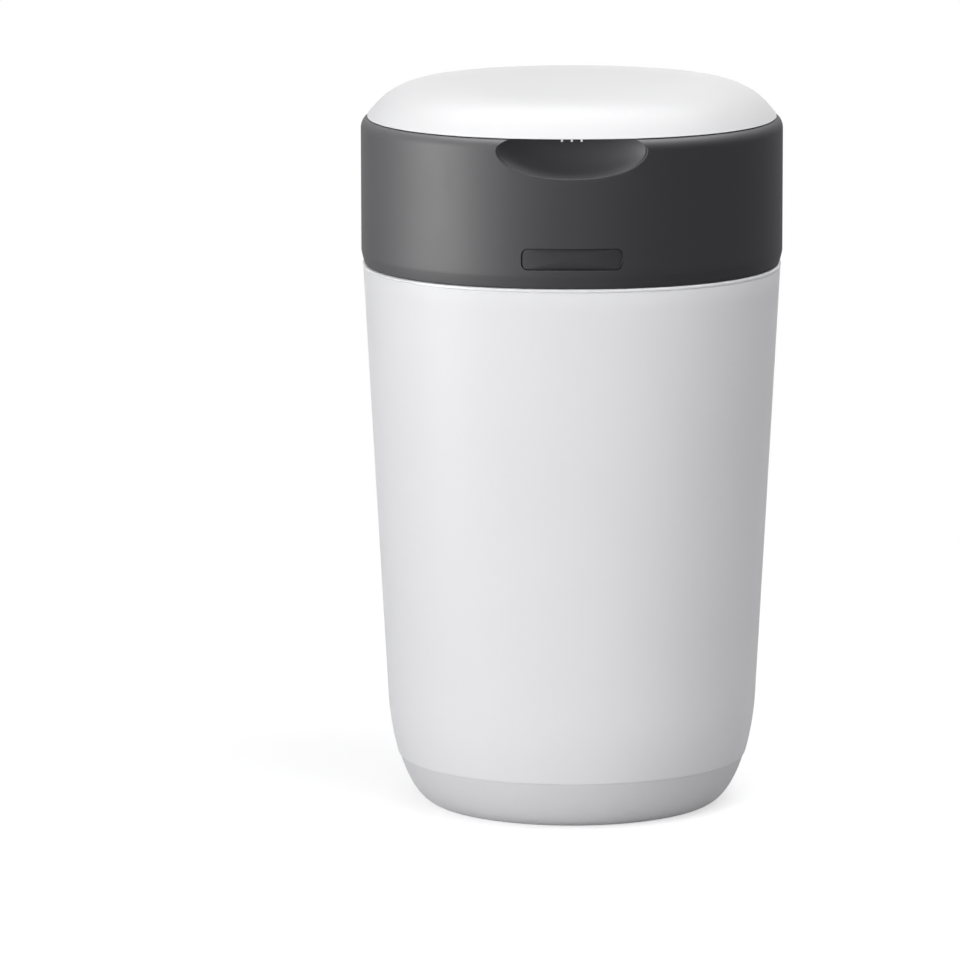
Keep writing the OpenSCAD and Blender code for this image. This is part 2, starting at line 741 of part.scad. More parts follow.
module cassette_tube() {
    color("dimgray") rotate_extrude() polygon([
        [tube_r, cassette_z], [tube_out, cassette_z], [tube_out, cassette_z + 6],
        [tube_out + 2, cassette_z + 6], [tube_out + 2, cassette_z + 7.2], [tube_out, cassette_z + 7.2],
        [tube_out, tube_top - 2], [tube_out + 1.2, tube_top - 1.2], [tube_out + 1.2, tube_top - 0.4],
        [tube_out + 0.6, tube_top], [tube_r + 0.8, tube_top], [tube_r, tube_top - 0.8]
    ]);
}

module cassette_top_ring() {
    top = cassette_z + cassette_h;
    color("dimgray") difference() {
        rotate_extrude() polygon([
            [cassette_r - top_ring_w, top - 2], [cassette_r - 3.4, top - 2], [cassette_r - 3.4, cup_top],
            [cassette_r, cup_top], [cassette_r, top - 2.4], [cassette_r - 1.6, top - 2.4],
            [cassette_r - 1.6, top - 0.6], [cassette_r - 2.2, top], [cassette_r - top_ring_w + 0.8, top],
            [cassette_r - top_ring_w, top - 0.8]
        ]);
        for (i = [0 : clip_windows - 1]) rotate(360 * i / clip_windows)
            box([cassette_r - 2.6, -clip_w / 2, cup_top + 0.8], [cassette_r + 1, clip_w / 2, top - 3]);
    }
}

// Film in one pleated pack, folded like a bellows round the tube
module film_pack() {
    step = (film_top - film_low) / pleats;
    fold = 2;
    color("lightblue") rotate_extrude() polygon(concat(
        [for (i = [0 : pleats - 1]) each [[film_out - fold, film_low + i * step],
                                          [film_out, film_low + (i + 0.5) * step]]],
        [[film_out - fold, film_top], [(film_in + film_out) / 2, film_top + 0.8], [film_in + fold, film_top]],
        [for (i = [pleats - 1 : -1 : 0]) each [[film_in, film_low + (i + 0.5) * step],
                                               [film_in + fold, film_low + i * step]]]
    ));
}

// ---- Cutter ----

module cutter_ring() {
    arm_in = blade_r + 8;
    arm_top = arm_z + arm_t;
    color("white") union() {
        rotate_extrude() polygon([
            [cut_in, cut_low], [cut_out - 1, cut_low], [cut_out, cut_low + 1],
            [cut_out, cut_top], [cut_in, cut_top]
        ]);
        intersection() {
            difference() {
                rotate_extrude() polygon([
                    [arm_in, arm_z], [cut_out - 2, arm_z], [cut_out - 2, cut_low + 1],
                    [throat_r + collar_t + collar_lip + 1.2, cut_low + 1],
                    [throat_r + collar_t + collar_lip + 1.2, arm_top], [arm_in, arm_top]
                ]);
                translate([0, 0, arm_top - 3 * blade_t - FINE]) linear_extrude(blade_t + 2 * FINE)
                    circle(r = throat_r);
            }
            rotate(cutter_turn) linear_extrude(lid_z)
                polygon([[0, 0], [mid_r, -0.15 * mid_r], [mid_r, 0.15 * mid_r]]);
        }
        for (a = [0, 180]) rotate(a) box([cut_out - 3, -9, cut_low], [cut_out + 8, 9, cut_low + 3]);
    }
}

module cutter_blade() {
    side = 5.5;
    tail = throat_r - 1.2;
    color("silver") rotate(cutter_turn) translate([0, 0, arm_z + arm_t - 3 * blade_t]) linear_extrude(blade_t)
        polygon([[blade_r, 0], [blade_r + 7, -side], [tail, -side], [tail, side], [blade_r + 7, side]]);
}

// ---- Button ----

// Face in the head's front with a leg that hooks under the rim ring's strike
module release_button() {
    z = seam_z + button_up;
    leg_y = [low_r + gap + 0.4 - half_d, low_r + gap + 3.2 - half_d];
    hook = [seam_z - 10, seam_z - 7 - gap];
    color("dimgray") union() {
        intersection() {
            face_block(button_w, button_h, z, -half_d - 1, 12 - half_d, button_corner);
            linear_extrude(lid_z) difference() {
                polygon(plan(half_w - 0.5, half_d - 0.5, plan_n));
                polygon(plan(half_w - 3.4, half_d - 3.4, plan_n));
            }
        }
        box([-hook_w, 1.5 - half_d, z - 4], [hook_w, leg_y[1], z]);
        box([-hook_w, leg_y[0], hook[0]], [hook_w, leg_y[1], z]);
        box([-hook_w, leg_y[0] - hook_t, hook[0]], [hook_w, leg_y[0] + 1, hook[1]]);
    }
}

// ---- Pawl ----

pawl_angle = 150;
pawl_lead = 14;
pawl_r = teeth_out + 10;
pawl_t = 4;
module boss_pawl() {
    rotate(pawl_angle - pawl_lead) translate([pawl_r, 0, plate_z - 1]) children();
}

module click_pawl() {
    hub = polar(pawl_r, pawl_angle - pawl_lead);
    color("ivory") translate([0, 0, race_top + gap]) difference() {
        union() {
            linear_extrude(pawl_t) polygon([
                polar(teeth_in + 0.6, pawl_angle - 0.6), polar(teeth_out + 2, pawl_angle - 0.6),
                polar(pawl_r + 3, pawl_angle - pawl_lead), polar(pawl_r - 3, pawl_angle - pawl_lead),
                polar(teeth_out + 1, pawl_angle - 6.5)
            ]);
            translate(hub) cylinder(r = 3.4, h = pawl_t);
        }
        translate([hub[0], hub[1], -1]) cylinder(r = screw_r + fit, h = pawl_t + 2);
    }
}

tub();
rim_ring();
head_hinge_pin();
head_cover();
lid_hinge_bracket();
head_chassis();
chassis_screws();
gripper_ring();
gripper_clamp();
lid_hinge_pin();
lid_shell();
lid_liner();
lid_seal();
lid_screws();
turntable();
twist_ring();
cassette_cup();
cassette_tube();
cassette_top_ring();
film_pack();
cutter_ring();
cutter_blade();
release_button();
click_pawl();
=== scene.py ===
"""Nappy bin, dressed for rendering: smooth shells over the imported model, finishes, studio and camera."""

import math

import bpy
import numpy as np
from bpy.props import FloatProperty, FloatVectorProperty, IntProperty, PointerProperty
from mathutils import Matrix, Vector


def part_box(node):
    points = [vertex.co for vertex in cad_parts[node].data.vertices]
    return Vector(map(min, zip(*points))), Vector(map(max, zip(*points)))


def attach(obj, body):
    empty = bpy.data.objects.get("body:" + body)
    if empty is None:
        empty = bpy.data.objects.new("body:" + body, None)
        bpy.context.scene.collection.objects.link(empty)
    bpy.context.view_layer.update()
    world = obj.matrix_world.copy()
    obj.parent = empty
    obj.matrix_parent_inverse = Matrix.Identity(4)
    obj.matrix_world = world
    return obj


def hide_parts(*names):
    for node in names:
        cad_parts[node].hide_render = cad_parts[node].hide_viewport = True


bl_info = {
    "name": "Nappy Bin",
    "version": (1, 0, 0),
    "blender": (4, 5, 0),
    "location": "View3D > Sidebar > Nappy Bin",
    "description": "Builds the shells, finishes and studio of a nappy bin",
    "category": "Object",
}

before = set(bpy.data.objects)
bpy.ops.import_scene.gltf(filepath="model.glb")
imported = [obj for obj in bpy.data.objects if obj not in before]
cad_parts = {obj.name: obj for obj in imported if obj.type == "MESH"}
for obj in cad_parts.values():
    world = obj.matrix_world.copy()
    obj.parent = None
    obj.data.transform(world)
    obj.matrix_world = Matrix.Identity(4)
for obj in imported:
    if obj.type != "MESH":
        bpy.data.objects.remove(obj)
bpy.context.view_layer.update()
HEAD_LOW, HEAD_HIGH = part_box("head_cover")
FILM_LOW, FILM_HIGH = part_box("film_pack")
TUB_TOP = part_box("tub")[1][2]
LID_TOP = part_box("lid_shell")[1][2]
BUTTON_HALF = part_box("release_button")[1][0]
TUBE_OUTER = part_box("cassette_tube")[1][0]
SCREWS_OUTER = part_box("lid_screws")[1][0]

MM = 0.001
ROUND = 288  # points round a lofted shell
CLEAR = 0.4 * MM  # gap between one moulding and the next
SKIN = 0.9 * MM  # how far inner forms stay behind the head's outer face

SPIGOT = 12 * MM  # how far the rim ring's spigot reaches into the tub
LUG_IN, LUG_OUT = 6 * MM, 16.7 * MM  # span of each hinge lug from the middle
KNUCKLE, KNUCKLE_BORE = 4.8 * MM, 1.85 * MM  # radius of a hinge knuckle and of its bore
PIVOT_REACH = 28 * MM  # how far the knuckles reach from the middle

POST, POST_BORE = 4 * MM, 1.7 * MM  # radius of the lid's screw posts and of their bores
SCREW_HEAD = 3.2 * MM  # radius of the screws' heads


# ---- sizes and colours


def number(name, value, words, **limits):
    """A number with a name and a description."""
    return FloatProperty(name=name, default=value, description=words, **limits)


def length(name, value, words):
    """A length in metres."""
    return number(name, value, words, min=0.0, unit="LENGTH", precision=4)


def angle(name, value, words):
    """An angle, given in degrees."""
    return number(name, math.radians(value), words, subtype="ANGLE")


def watts(name, value, words):
    """The power of a lamp."""
    return number(name, value, words, min=0.0, unit="POWER")


def tint(name, value, words):
    """A linear colour."""
    return FloatVectorProperty(
        name=name, default=value, size=3, min=0.0, max=1.0, subtype="COLOR", description=words
    )


class BinSizes(bpy.types.PropertyGroup):
    """Sizes of the shells that Blender makes."""

    half_width: length("Half width", HEAD_HIGH[0], "Half the width of the head")
    half_depth: length("Half depth", -HEAD_LOW[1], "Half the depth of the head")
    seam: length("Seam", HEAD_LOW[2], "Height of the parting plane under the head")
    land: length("Land", HEAD_HIGH[2], "Height of the land that the lid closes on")
    lid_top: length("Lid top", LID_TOP, "Height of the lid's crown")
    lid_gap: length("Lid gap", CLEAR, "Gap between the land and the lid's edge")
    tub_top: length("Tub top", TUB_TOP, "Height of the tub's rim")
    squareness: number("Squareness", 2.2, "Power of the plan", min=2.0, max=4.0)
    wall: length("Wall", 2.6 * MM, "Wall of the moulded shells")
    low_radius: length("Lower edge", 8 * MM, "Height of the head's lower edge and its radius about the hinge")
    low_in: length("Lower edge inset", 2 * MM, "How far the head's lower edge turns in")
    top_radius: length("Upper radius", 7.5 * MM, "Radius of the head's upper edge")
    lid_inset: length("Lid inset", 4 * MM, "How far the lid's edge stands in from the head")
    lid_full: number("Crown", 8.2, "Fullness of the crown", min=2.0, max=20.0)
    scoop_half: length("Scoop half width", 50 * MM, "Half width of the finger scoop")
    scoop_height: length("Scoop half height", 17.4 * MM, "Half height of the finger scoop")
    scoop_depth: length("Scoop depth", 15 * MM, "Depth of the finger scoop")
    scoop_drop: length("Scoop drop", 6.5 * MM, "Drop from the lid's edge to the scoop's widest line")
    notch_half: length("Notch half width", 50 * MM, "Half width of the hinge notch at the back")
    notch_drop: length("Notch drop", 12.5 * MM, "Drop from the lid's edge to the notch's floor")
    notch_in: length("Notch depth", 20 * MM, "Depth of the hinge notch, back to front")
    well: length("Well", 103.5 * MM, "Radius of the round well in the deck")
    deck_drop: length("Deck drop", 3 * MM, "Drop from the land to the deck")
    tub_inset: length("Tub inset", 1.2 * MM, "How far the tub stands in from the head")
    draft: angle("Draft", 3.04, "Slope of the tub's sides")
    base_roll: length("Base height", 70 * MM, "Height of the tub's rounded base")
    base_turn: length("Base turn", 26 * MM, "How far the rounded base turns in")
    crease: length("Crease", 31 * MM, "Height of the crease round the base")
    rib_pitch: length("Rib pitch", 6 * MM, "Spacing of the ribs under the lid's lip")
    rib_drop: length("Rib drop", 1.5 * MM, "How far the ribs hang below the lid's edge")
    button_width: length("Button width", 2 * BUTTON_HALF, "Width of the release button")
    button_height: length("Button height", 12.8 * MM, "Height of the release button's face")
    button_middle: length("Button middle", 18.1 * MM, "Height of the button's middle over the seam")
    button_corner: length("Button corner", 3.8 * MM, "Radius of the button's corners")
    pleats: IntProperty(name="Pleats", default=14, min=4, max=24, description="Folds of the packed film")


class BinColours(bpy.types.PropertyGroup):
    """Linear colours of the finishes."""

    tub: tint("Tub", (0.83, 0.83, 0.845), "White plastic of the tub")
    lid: tint("Lid", (0.83, 0.83, 0.84), "White plastic of the lid")
    head: tint("Head", (0.034, 0.0332, 0.0365), "Dark grey plastic of the head")
    button: tint("Button", (0.028, 0.0273, 0.030), "Darker plastic of the button")
    inner: tint("Inner", (0.78, 0.79, 0.80), "White plastic of the turning parts")
    chassis: tint("Chassis", (0.30, 0.30, 0.31), "Grey plastic of the chassis")
    cassette: tint("Cassette", (0.040, 0.037, 0.038), "Dark plastic of the cassette")
    petal: tint("Petals", (0.085, 0.085, 0.092), "Soft dark petals")
    seal: tint("Seal", (0.52, 0.53, 0.54), "Pale soft seal")
    pawl: tint("Pawl", (0.72, 0.70, 0.62), "Natural plastic of the pawl")
    steel: tint("Steel", (0.58, 0.58, 0.59), "Steel of pins, screws and blade")
    film_light: tint("Film light", (0.80, 0.83, 0.83), "Light patches of the film")
    film_green: tint("Film green", (0.42, 0.62, 0.58), "Green patches of the film")
    film_grey: tint("Film grey", (0.16, 0.17, 0.18), "Grey patches of the film")


class BinStudio(bpy.types.PropertyGroup):
    """Camera and lamps."""

    distance: length("Distance", 4.4386, "From the camera to the middle of the bin")
    aim: length("Aim", 0.228, "Height that the camera looks at")
    elevation: angle("Elevation", 9.68, "Camera above the level")
    lens: number("Lens", 264.0, "Focal length in millimetres", min=1.0)
    shift_x: number("Shift X", -0.0957, "Sideways shift of the frame")
    shift_y: number("Shift Y", -0.0383, "Upward shift of the frame")
    ambient: number("Ambient", 0.28, "Strength of the room's light", min=0.0)
    key_light: watts("Key light", 44.0, "Lamp at the front left")
    top_light: watts("Top light", 9.0, "Lamp over the lid")
    front_light: watts("Front light", 17.0, "Lamp high at the front right")
    side_light: watts("Side card", 145.0, "Tall card whose gleam runs down the left side")
    top_card: watts("Top card", 700.0, "Wide card whose gleam lies on the lid's front")


def sizes():
    """The sizes of this scene."""
    return bpy.context.scene.bin_sizes


def colours():
    """The colours of this scene."""
    return bpy.context.scene.bin_colours


# ---- surfaces


def level(inset, z, power=None):
    """One level row of a shell: half width, half depth, power and height, standing in from the head."""
    s = sizes()
    return (s.half_width - inset, s.half_depth - inset, power or s.squareness, z)


def circle(radius, z):
    """One level circle of a shell."""
    return (radius, radius, 2.0, z)


def full_turn(count):
    """Angles at equal steps round a full turn."""
    return np.linspace(0, 2 * np.pi, count, endpoint=False)


def loft(rows, count=ROUND):
    """Rounded-square rows on one turn t: x = a sgn(cos t)|cos t|^(2/n), y = b sgn(sin t)|sin t|^(2/n), z."""
    a, b, n, z = np.array(rows, float).T[:, :, None]
    turn = full_turn(count)
    c, s = np.cos(turn), np.sin(turn)
    x = a * np.sign(c) * np.abs(c) ** (2 / n)
    y = b * np.sign(s) * np.abs(s) ** (2 / n)
    return np.stack([x, y, np.broadcast_to(z, x.shape)], -1)


def arc(radius, first, last, steps):
    """Points (radius cos t, radius sin t) of an arc between two angles in degrees."""
    t = np.radians(np.linspace(first, last, steps + 1))
    return np.stack([radius * np.cos(t), radius * np.sin(t)], -1)


def outline(width, height, corner, steps=6):
    """A rectangle with round corners about the origin: each corner's centre plus an arc of 90 degrees."""
    quarter = arc(corner, 0, 90, steps)
    turns = [(1, 1, 0), (-1, 1, 90), (-1, -1, 180), (1, -1, 270)]
    corners = []
    for sx, sy, degrees in turns:
        t = math.radians(degrees)
        spin = np.array([[math.cos(t), math.sin(t)], [-math.sin(t), math.cos(t)]])
        corners.append(quarter @ spin + [sx * (width / 2 - corner), sy * (height / 2 - corner)])
    return np.concatenate(corners)


def stack(outlines, levels, axis=2, centre=(0, 0, 0)):
    """Flat outlines stood one above the other along an axis; the outline lies in the next two axes."""
    flat = np.stack(outlines)
    high = np.broadcast_to(np.array(levels, float)[:, None, None], flat.shape[:2] + (1,))
    return np.roll(np.concatenate([flat, high], -1), axis + 1, -1) + np.array(centre)


def soft_box(low, high, corner, edge, axis=2, steps=3):
    """A box of stacked outlines whose two ends stand in by a quarter circle of the edge's radius."""
    low, high = np.array(low, float), np.array(high, float)
    size, middle = high - low, (high + low) / 2
    p, q = (axis + 1) % 3, (axis + 2) % 3
    turn = np.radians(np.linspace(0, 90, steps + 1))
    inset = edge * (1 - np.sin(turn))
    rise = edge * (1 - np.cos(turn))
    insets = np.concatenate([inset, inset[::-1]])
    levels = np.concatenate([-size[axis] / 2 + rise, size[axis] / 2 - rise[::-1]])
    rings = [outline(size[p] - 2 * i, size[q] - 2 * i, max(corner - i, 0.05 * MM)) for i in insets]
    return stack(rings, levels, axis, middle)


def sleeve(axis, span, outer, inner, centre, edge=0.4 * MM, count=64):
    """A closed tube about a line along an axis: circles up the outside and back down the bore."""
    radii = [outer - edge, outer, outer, outer - edge, inner, inner]
    along = [span[0], span[0] + edge, span[1] - edge, span[1], span[1], span[0]]
    t = full_turn(count)
    rings = [np.stack([r * np.cos(t), r * np.sin(t)], -1) for r in radii]
    return stack(rings, along, axis, centre)


def quads(rows, cols, closed):
    """Corner numbers of a grid's quads; columns wrap, and rows wrap too on a closed grid."""
    i = np.arange(rows if closed else rows - 1)[:, None]
    j = np.arange(cols)[None, :]
    up, side = (i + 1) % rows, (j + 1) % cols
    corners = [i * cols + j, i * cols + side, up * cols + side, up * cols + j]
    return np.stack([np.broadcast_to(c, (len(i), cols)) for c in corners], -1).reshape(-1, 4)


def fans(rows, cols):
    """Triangles that close a grid's first and last row on two tips, numbered after the grid's points."""
    ring = np.arange(cols)
    side = (ring + 1) % cols
    last = (rows - 1) * cols
    first_tip, last_tip = rows * cols, rows * cols + 1
    low = np.stack([np.full(cols, first_tip), side, ring], -1)
    high = np.stack([np.full(cols, last_tip), last + ring, last + side], -1)
    return np.concatenate([low, high])


def solid(grid, closed=False):
    """Points and faces of a grid as a closed solid, by joining its ends or by two fans."""
    rows, cols = grid.shape[:2]
    points = grid.reshape(-1, 3)
    if closed:
        return points, [quads(rows, cols, True)]
    points = np.concatenate([points, grid[0].mean(0)[None], grid[-1].mean(0)[None]])
    return points, [quads(rows, cols, False), fans(rows, cols)]


def mesh_of(name, solids):
    """One mesh of several solids, filled from whole arrays."""
    points, faces, base = [], [], 0
    for own_points, own_faces in solids:
        points.append(own_points)
        faces.extend(f + base for f in own_faces)
        base += len(own_points)
    points = np.concatenate(points)
    corners = np.concatenate([f.ravel() for f in faces])
    counts = np.concatenate([np.full(len(f), f.shape[1]) for f in faces])
    mesh = bpy.data.meshes.new(name)
    mesh.vertices.add(len(points))
    mesh.vertices.foreach_set("co", points.astype(np.float32).ravel())
    mesh.loops.add(len(corners))
    mesh.loops.foreach_set("vertex_index", corners.astype(np.int32))
    mesh.polygons.add(len(counts))
    mesh.polygons.foreach_set("loop_start", (np.cumsum(counts) - counts).astype(np.int32))
    mesh.update(calc_edges=True)
    mesh.validate()
    return mesh


def shade(mesh, degrees=32):
    """Smooth faces, with sharp edges where the surface turns by more than the angle."""
    mesh.polygons.foreach_set("use_smooth", np.ones(len(mesh.polygons), bool))
    mesh.set_sharp_from_angle(angle=math.radians(degrees))


def place(name, data):
    """Puts a mesh, a lamp or a camera in the scene as an object at the origin."""
    thing = bpy.data.objects.new(name, data)
    bpy.context.scene.collection.objects.link(thing)
    return thing


def carve(name, first, steps):
    """A solid with others added or cut away in turn by exact booleans, as one mesh."""
    thing = place(name, mesh_of(name, [first]))
    tools = []
    for number, (operation, other) in enumerate(steps):
        tool = place(f"{name}_tool_{number}", mesh_of(f"{name}_tool_{number}", [other]))
        tools.append(tool)
        change = thing.modifiers.new(f"step_{number}", "BOOLEAN")
        change.operation = operation
        change.solver = "EXACT"
        change.object = tool
    graph = bpy.context.evaluated_depsgraph_get()
    mesh = bpy.data.meshes.new_from_object(thing.evaluated_get(graph))
    for spare in [thing, *tools]:
        old = spare.data
        bpy.data.objects.remove(spare)
        bpy.data.meshes.remove(old)
    mesh.name = name
    return mesh


def solid_of(mesh):
    """Points and faces of a mesh as a solid for a further cut; the mesh itself is removed."""

    def read(items, key, values):
        """Fills an array with one property of all items."""
        items.foreach_get(key, values)
        return values

    points = read(mesh.vertices, "co", np.empty(len(mesh.vertices) * 3, np.float32))
    corners = read(mesh.loops, "vertex_index", np.empty(len(mesh.loops), np.int32))
    starts = read(mesh.polygons, "loop_start", np.empty(len(mesh.polygons), np.int32))
    counts = read(mesh.polygons, "loop_total", np.empty(len(mesh.polygons), np.int32))
    faces = [corners[starts[counts == size][:, None] + np.arange(size)] for size in np.unique(counts)]
    bpy.data.meshes.remove(mesh)
    return points.reshape(-1, 3).astype(float), faces


def finish_piece(name, mesh, body, nodes, degrees=32):
    """Shades a mesh, puts it in the scene on its body and hides the CAD nodes that it stands for."""
    shade(mesh, degrees)
    thing = place(name, mesh)
    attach(thing, body)
    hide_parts(*nodes)


# ---- tub


def tub_inset(z):
    """Inset of the tub at height z: the rim's inset, (top - z) tan(draft), the rounded base and the crease.

    The base adds turn (1 - sqrt(1 - d^2)), a quarter oval over the share d of its height that z lies below
    its start. The crease adds a soft step, depth / (1 + exp((z - crease) / softness)).
    """
    s = sizes()
    depth, softness = 0.6 * MM, 0.12 * MM
    drop = np.clip((s.base_roll - z) / s.base_roll, 0, 1)
    roll = s.base_turn * (1 - np.sqrt(1 - drop**2))
    step = depth / (1 + np.exp(np.clip((z - s.crease) / softness, -40, 40)))
    return s.tub_inset + (s.tub_top - z) * math.tan(s.draft) + roll + step


def tub_rows(heights, inset=0.0):
    """Rows of the tub's skin at given heights; the plan turns from a circle to the head's outline."""
    s = sizes()
    return [level(tub_inset(z) + inset, z, 2 + (s.squareness - 2) * z / s.tub_top) for z in heights]


def tub_solid():
    """The tub: foot, rounded base with its crease, drafted sides, rounded rim, inner wall and floor."""
    s = sizes()
    foot = tub_inset(0.0) + 7 * MM
    floor = 6 * MM
    turn = np.radians(np.linspace(0, 90, 40))
    base = s.base_roll * (1 - np.cos(turn))
    near = s.crease + np.linspace(-1.2, 1.2, 13) * MM
    heights = np.unique(np.round(np.concatenate([base, near]), 7))
    sides = np.linspace(s.base_roll, s.tub_top - 0.4 * MM, 30)[1:]
    inner = base[base > floor][::-2]
    under = ((2 * MM, 3 * MM), (0.6 * MM, 0.3 * MM), (0.0, 0.0))
    rows = [level(foot + inset, z, 2.0) for inset, z in under]
    rows += tub_rows(heights) + tub_rows(sides)
    rows += tub_rows([s.tub_top - 0.1 * MM], 0.15 * MM) + tub_rows([s.tub_top], 0.5 * MM)
    rows += tub_rows([s.tub_top], s.wall - 0.4 * MM) + tub_rows([s.tub_top - 0.4 * MM], s.wall)
    rows += tub_rows(sides[::-6], s.wall) + tub_rows(inner, s.wall)
    rows += tub_rows([floor + 2 * MM], s.wall + 0.4 * MM) + tub_rows([floor], s.wall + 2 * MM)
    return solid(loft(rows))


class BIN_OT_tub(bpy.types.Operator):
    """White tapered tub on a rounded base"""

    bl_idname = "nappy_bin.tub"
    bl_label = "Tub"

    def execute(self, context):
        mesh = mesh_of("tub_skin", [tub_solid()])
        finish_piece("tub_skin", mesh, "base", ["tub"], 40)
        return {"FINISHED"}


# ---- rim ring


def hinge_axis():
    """Where the pin of the head's hinge runs: y and z."""
    s = sizes()
    return s.half_depth - s.low_radius, s.seam + s.low_radius


def rim_section():
    """Radius inside the spigot, and the ring: bead, parting face, and the spigot that drops into the tub."""
    s = sizes()
    top = s.seam - CLEAR
    bead = s.tub_inset - CLEAR
    outer = s.tub_inset + s.wall + 0.3 * MM
    inner = outer + 2.2 * MM
    taper = SPIGOT * math.tan(s.draft)
    middle = (top + s.tub_top) / 2
    rows = [level(bead + 0.8 * MM, s.tub_top)]
    rows += [level(bead + 1.1 * MM - p, middle + q) for p, q in arc(1.1 * MM, -72, 72, 8)]
    rows += [level(inner - 0.4 * MM, top), level(inner, top - 0.4 * MM)]
    rows += [level(inner + taper, s.tub_top - SPIGOT), level(outer + taper, s.tub_top - SPIGOT)]
    rows += [level(outer, s.tub_top)]
    return inner, solid(loft(rows), closed=True)


def hinge_lug(side):
    """One lug of the rim ring: knuckle, neck, and the foot that joins it to the spigot."""
    s = sizes()
    axis_y, axis_z = hinge_axis()
    top = s.seam - CLEAR
    neck = 2.8 * MM
    left, right = sorted([side * LUG_IN, side * LUG_OUT])
    knuckle = sleeve(0, (left, right), KNUCKLE, KNUCKLE_BORE, (0, axis_y, axis_z))
    neck_low, neck_high = (left, axis_y - neck, top - 1 * MM), (right, axis_y + neck, axis_z - KNUCKLE_BORE)
    foot_low = (left, axis_y - neck - 1 * MM, s.tub_top - SPIGOT + 1 * MM)
    foot_high = (right, axis_y - 1 * MM, top)
    return [
        solid(knuckle, closed=True),
        solid(soft_box(neck_low, neck_high, 0.5 * MM, 0.2 * MM)),
        solid(soft_box(foot_low, foot_high, 0.5 * MM, 0.2 * MM)),
    ]


def latch_strike(inner):
    """The block on the spigot's inside that the button's hook holds."""
    s = sizes()
    low = (-12 * MM, inner - s.half_depth - 0.5 * MM, s.seam - 7 * MM)
    high = (12 * MM, s.low_radius + 0.4 * MM - s.half_depth, s.seam - 4 * MM)
    return solid(soft_box(low, high, 0.4 * MM, 0.3 * MM))


class BIN_OT_rim(bpy.types.Operator):
    """Bead under the head, its spigot, the fixed hinge lugs and the latch's strike"""

    bl_idname = "nappy_bin.rim"
    bl_label = "Rim ring"

    def execute(self, context):
        inner, ring = rim_section()
        solids = [ring, *hinge_lug(-1), *hinge_lug(1), latch_strike(inner)]
        finish_piece("rim_bead", mesh_of("rim_bead", solids), "base", ["rim_ring"])
        return {"FINISHED"}


# ---- head


def face_y(x, inset=0.0):
    """The front face of the head at x: y = -(b - i) (1 - |x / (a - i)|^n)^(1/n)."""
    s = sizes()
    share = np.clip(np.abs(x) / (s.half_width - inset), 0, 1)
    return -(s.half_depth - inset) * (1 - share**s.squareness) ** (1 / s.squareness)


def top_edge():
    """Where the head's upper edge starts, and how many degrees it turns before the land."""
    s = sizes()
    reach = math.acos((s.top_radius - s.lid_inset - CLEAR) / s.top_radius)
    return s.land - s.top_radius * math.sin(reach), math.degrees(reach)


def head_rows():
    """Section of the head's shell: lower edge, wall, upper edge, land, deck, well lip and back inside.

    At u times its height below its start the lower edge stands in by low_in u^1.25. The upper edge is an arc.
    """
    s = sizes()
    axis = s.seam + s.low_radius
    base, reach = top_edge()
    deck = s.land - s.deck_drop
    deck_in = s.lid_inset + CLEAR + 5 * MM
    outside = [(s.low_in + 0.6 * MM, s.seam), (s.low_in + 0.15 * MM, s.seam + 0.1 * MM)]
    outside += [(s.low_in * u**1.25, axis - s.low_radius * u) for u in np.linspace(0.94, 0, 14)]
    outside += [(0.0, z) for z in np.linspace(axis, base, 26)[1:-1]]
    outside += [(s.top_radius - p, base + q) for p, q in arc(s.top_radius, 0, reach, 12)]
    outside += [(deck_in - 1.3 * MM, s.land), (deck_in - 0.9 * MM, s.land - 0.3 * MM)]
    outside += [(deck_in - 0.2 * MM, deck + 0.4 * MM), (deck_in + 0.3 * MM, deck)]
    lip = ((2, 0.4), (1, 0.7), (0.3, 1.5), (0, 2.4), (0, 8.6), (0.4, 9), (2, 9))
    well = [circle(s.well + out * MM, deck - down * MM) for out, down in lip]
    well.append(circle(s.well + 2 * MM, deck - s.wall))
    shoulder = s.land - s.top_radius - 1 * MM
    drop = s.low_radius - s.wall
    inside = [(deck_in, deck - s.wall), (s.wall, shoulder)]
    inside += [(s.wall, z) for z in np.linspace(shoulder, axis, 5)[1:-1]]
    inside += [(s.wall + s.low_in * (1 - p), axis + drop * q) for p, q in arc(1.0, 0, -90, 6)]
    inside += [(s.wall + s.low_in, s.seam + 0.3 * MM), (s.wall + s.low_in - 0.3 * MM, s.seam)]
    return [level(*row) for row in outside] + well + [level(*row) for row in inside]


def scoop_level():
    """Height of the scoop's widest line."""
    s = sizes()
    return s.land + s.lid_gap - s.scoop_drop


def scoop_solid(grow=0.0):
    """The finger scoop's ellipsoid about the face: rows of ellipses a cos p, d cos p at height h sin p."""
    s = sizes()
    p = np.radians(np.linspace(-88, 88, 72))
    a, d, h = (size + grow for size in (s.scoop_half, s.scoop_depth, s.scoop_height))
    rows = [(a * math.cos(t), d * math.cos(t), 2.0, scoop_level() + h * math.sin(t)) for t in p]
    return solid(loft(rows, 144) - [0, s.half_depth, 0])


def head_fill():
    """The head's outer form, filled and a little smaller, to trim what is moulded on its inside."""
    s = sizes()
    base, reach = top_edge()
    edge = arc(s.top_radius, 0, reach, 12)
    rows = [level(SKIN, s.seam + s.low_radius)]
    rows += [level(s.top_radius - p + SKIN, base + q - 0.2 * MM) for p, q in edge]
    return solid(loft(rows))


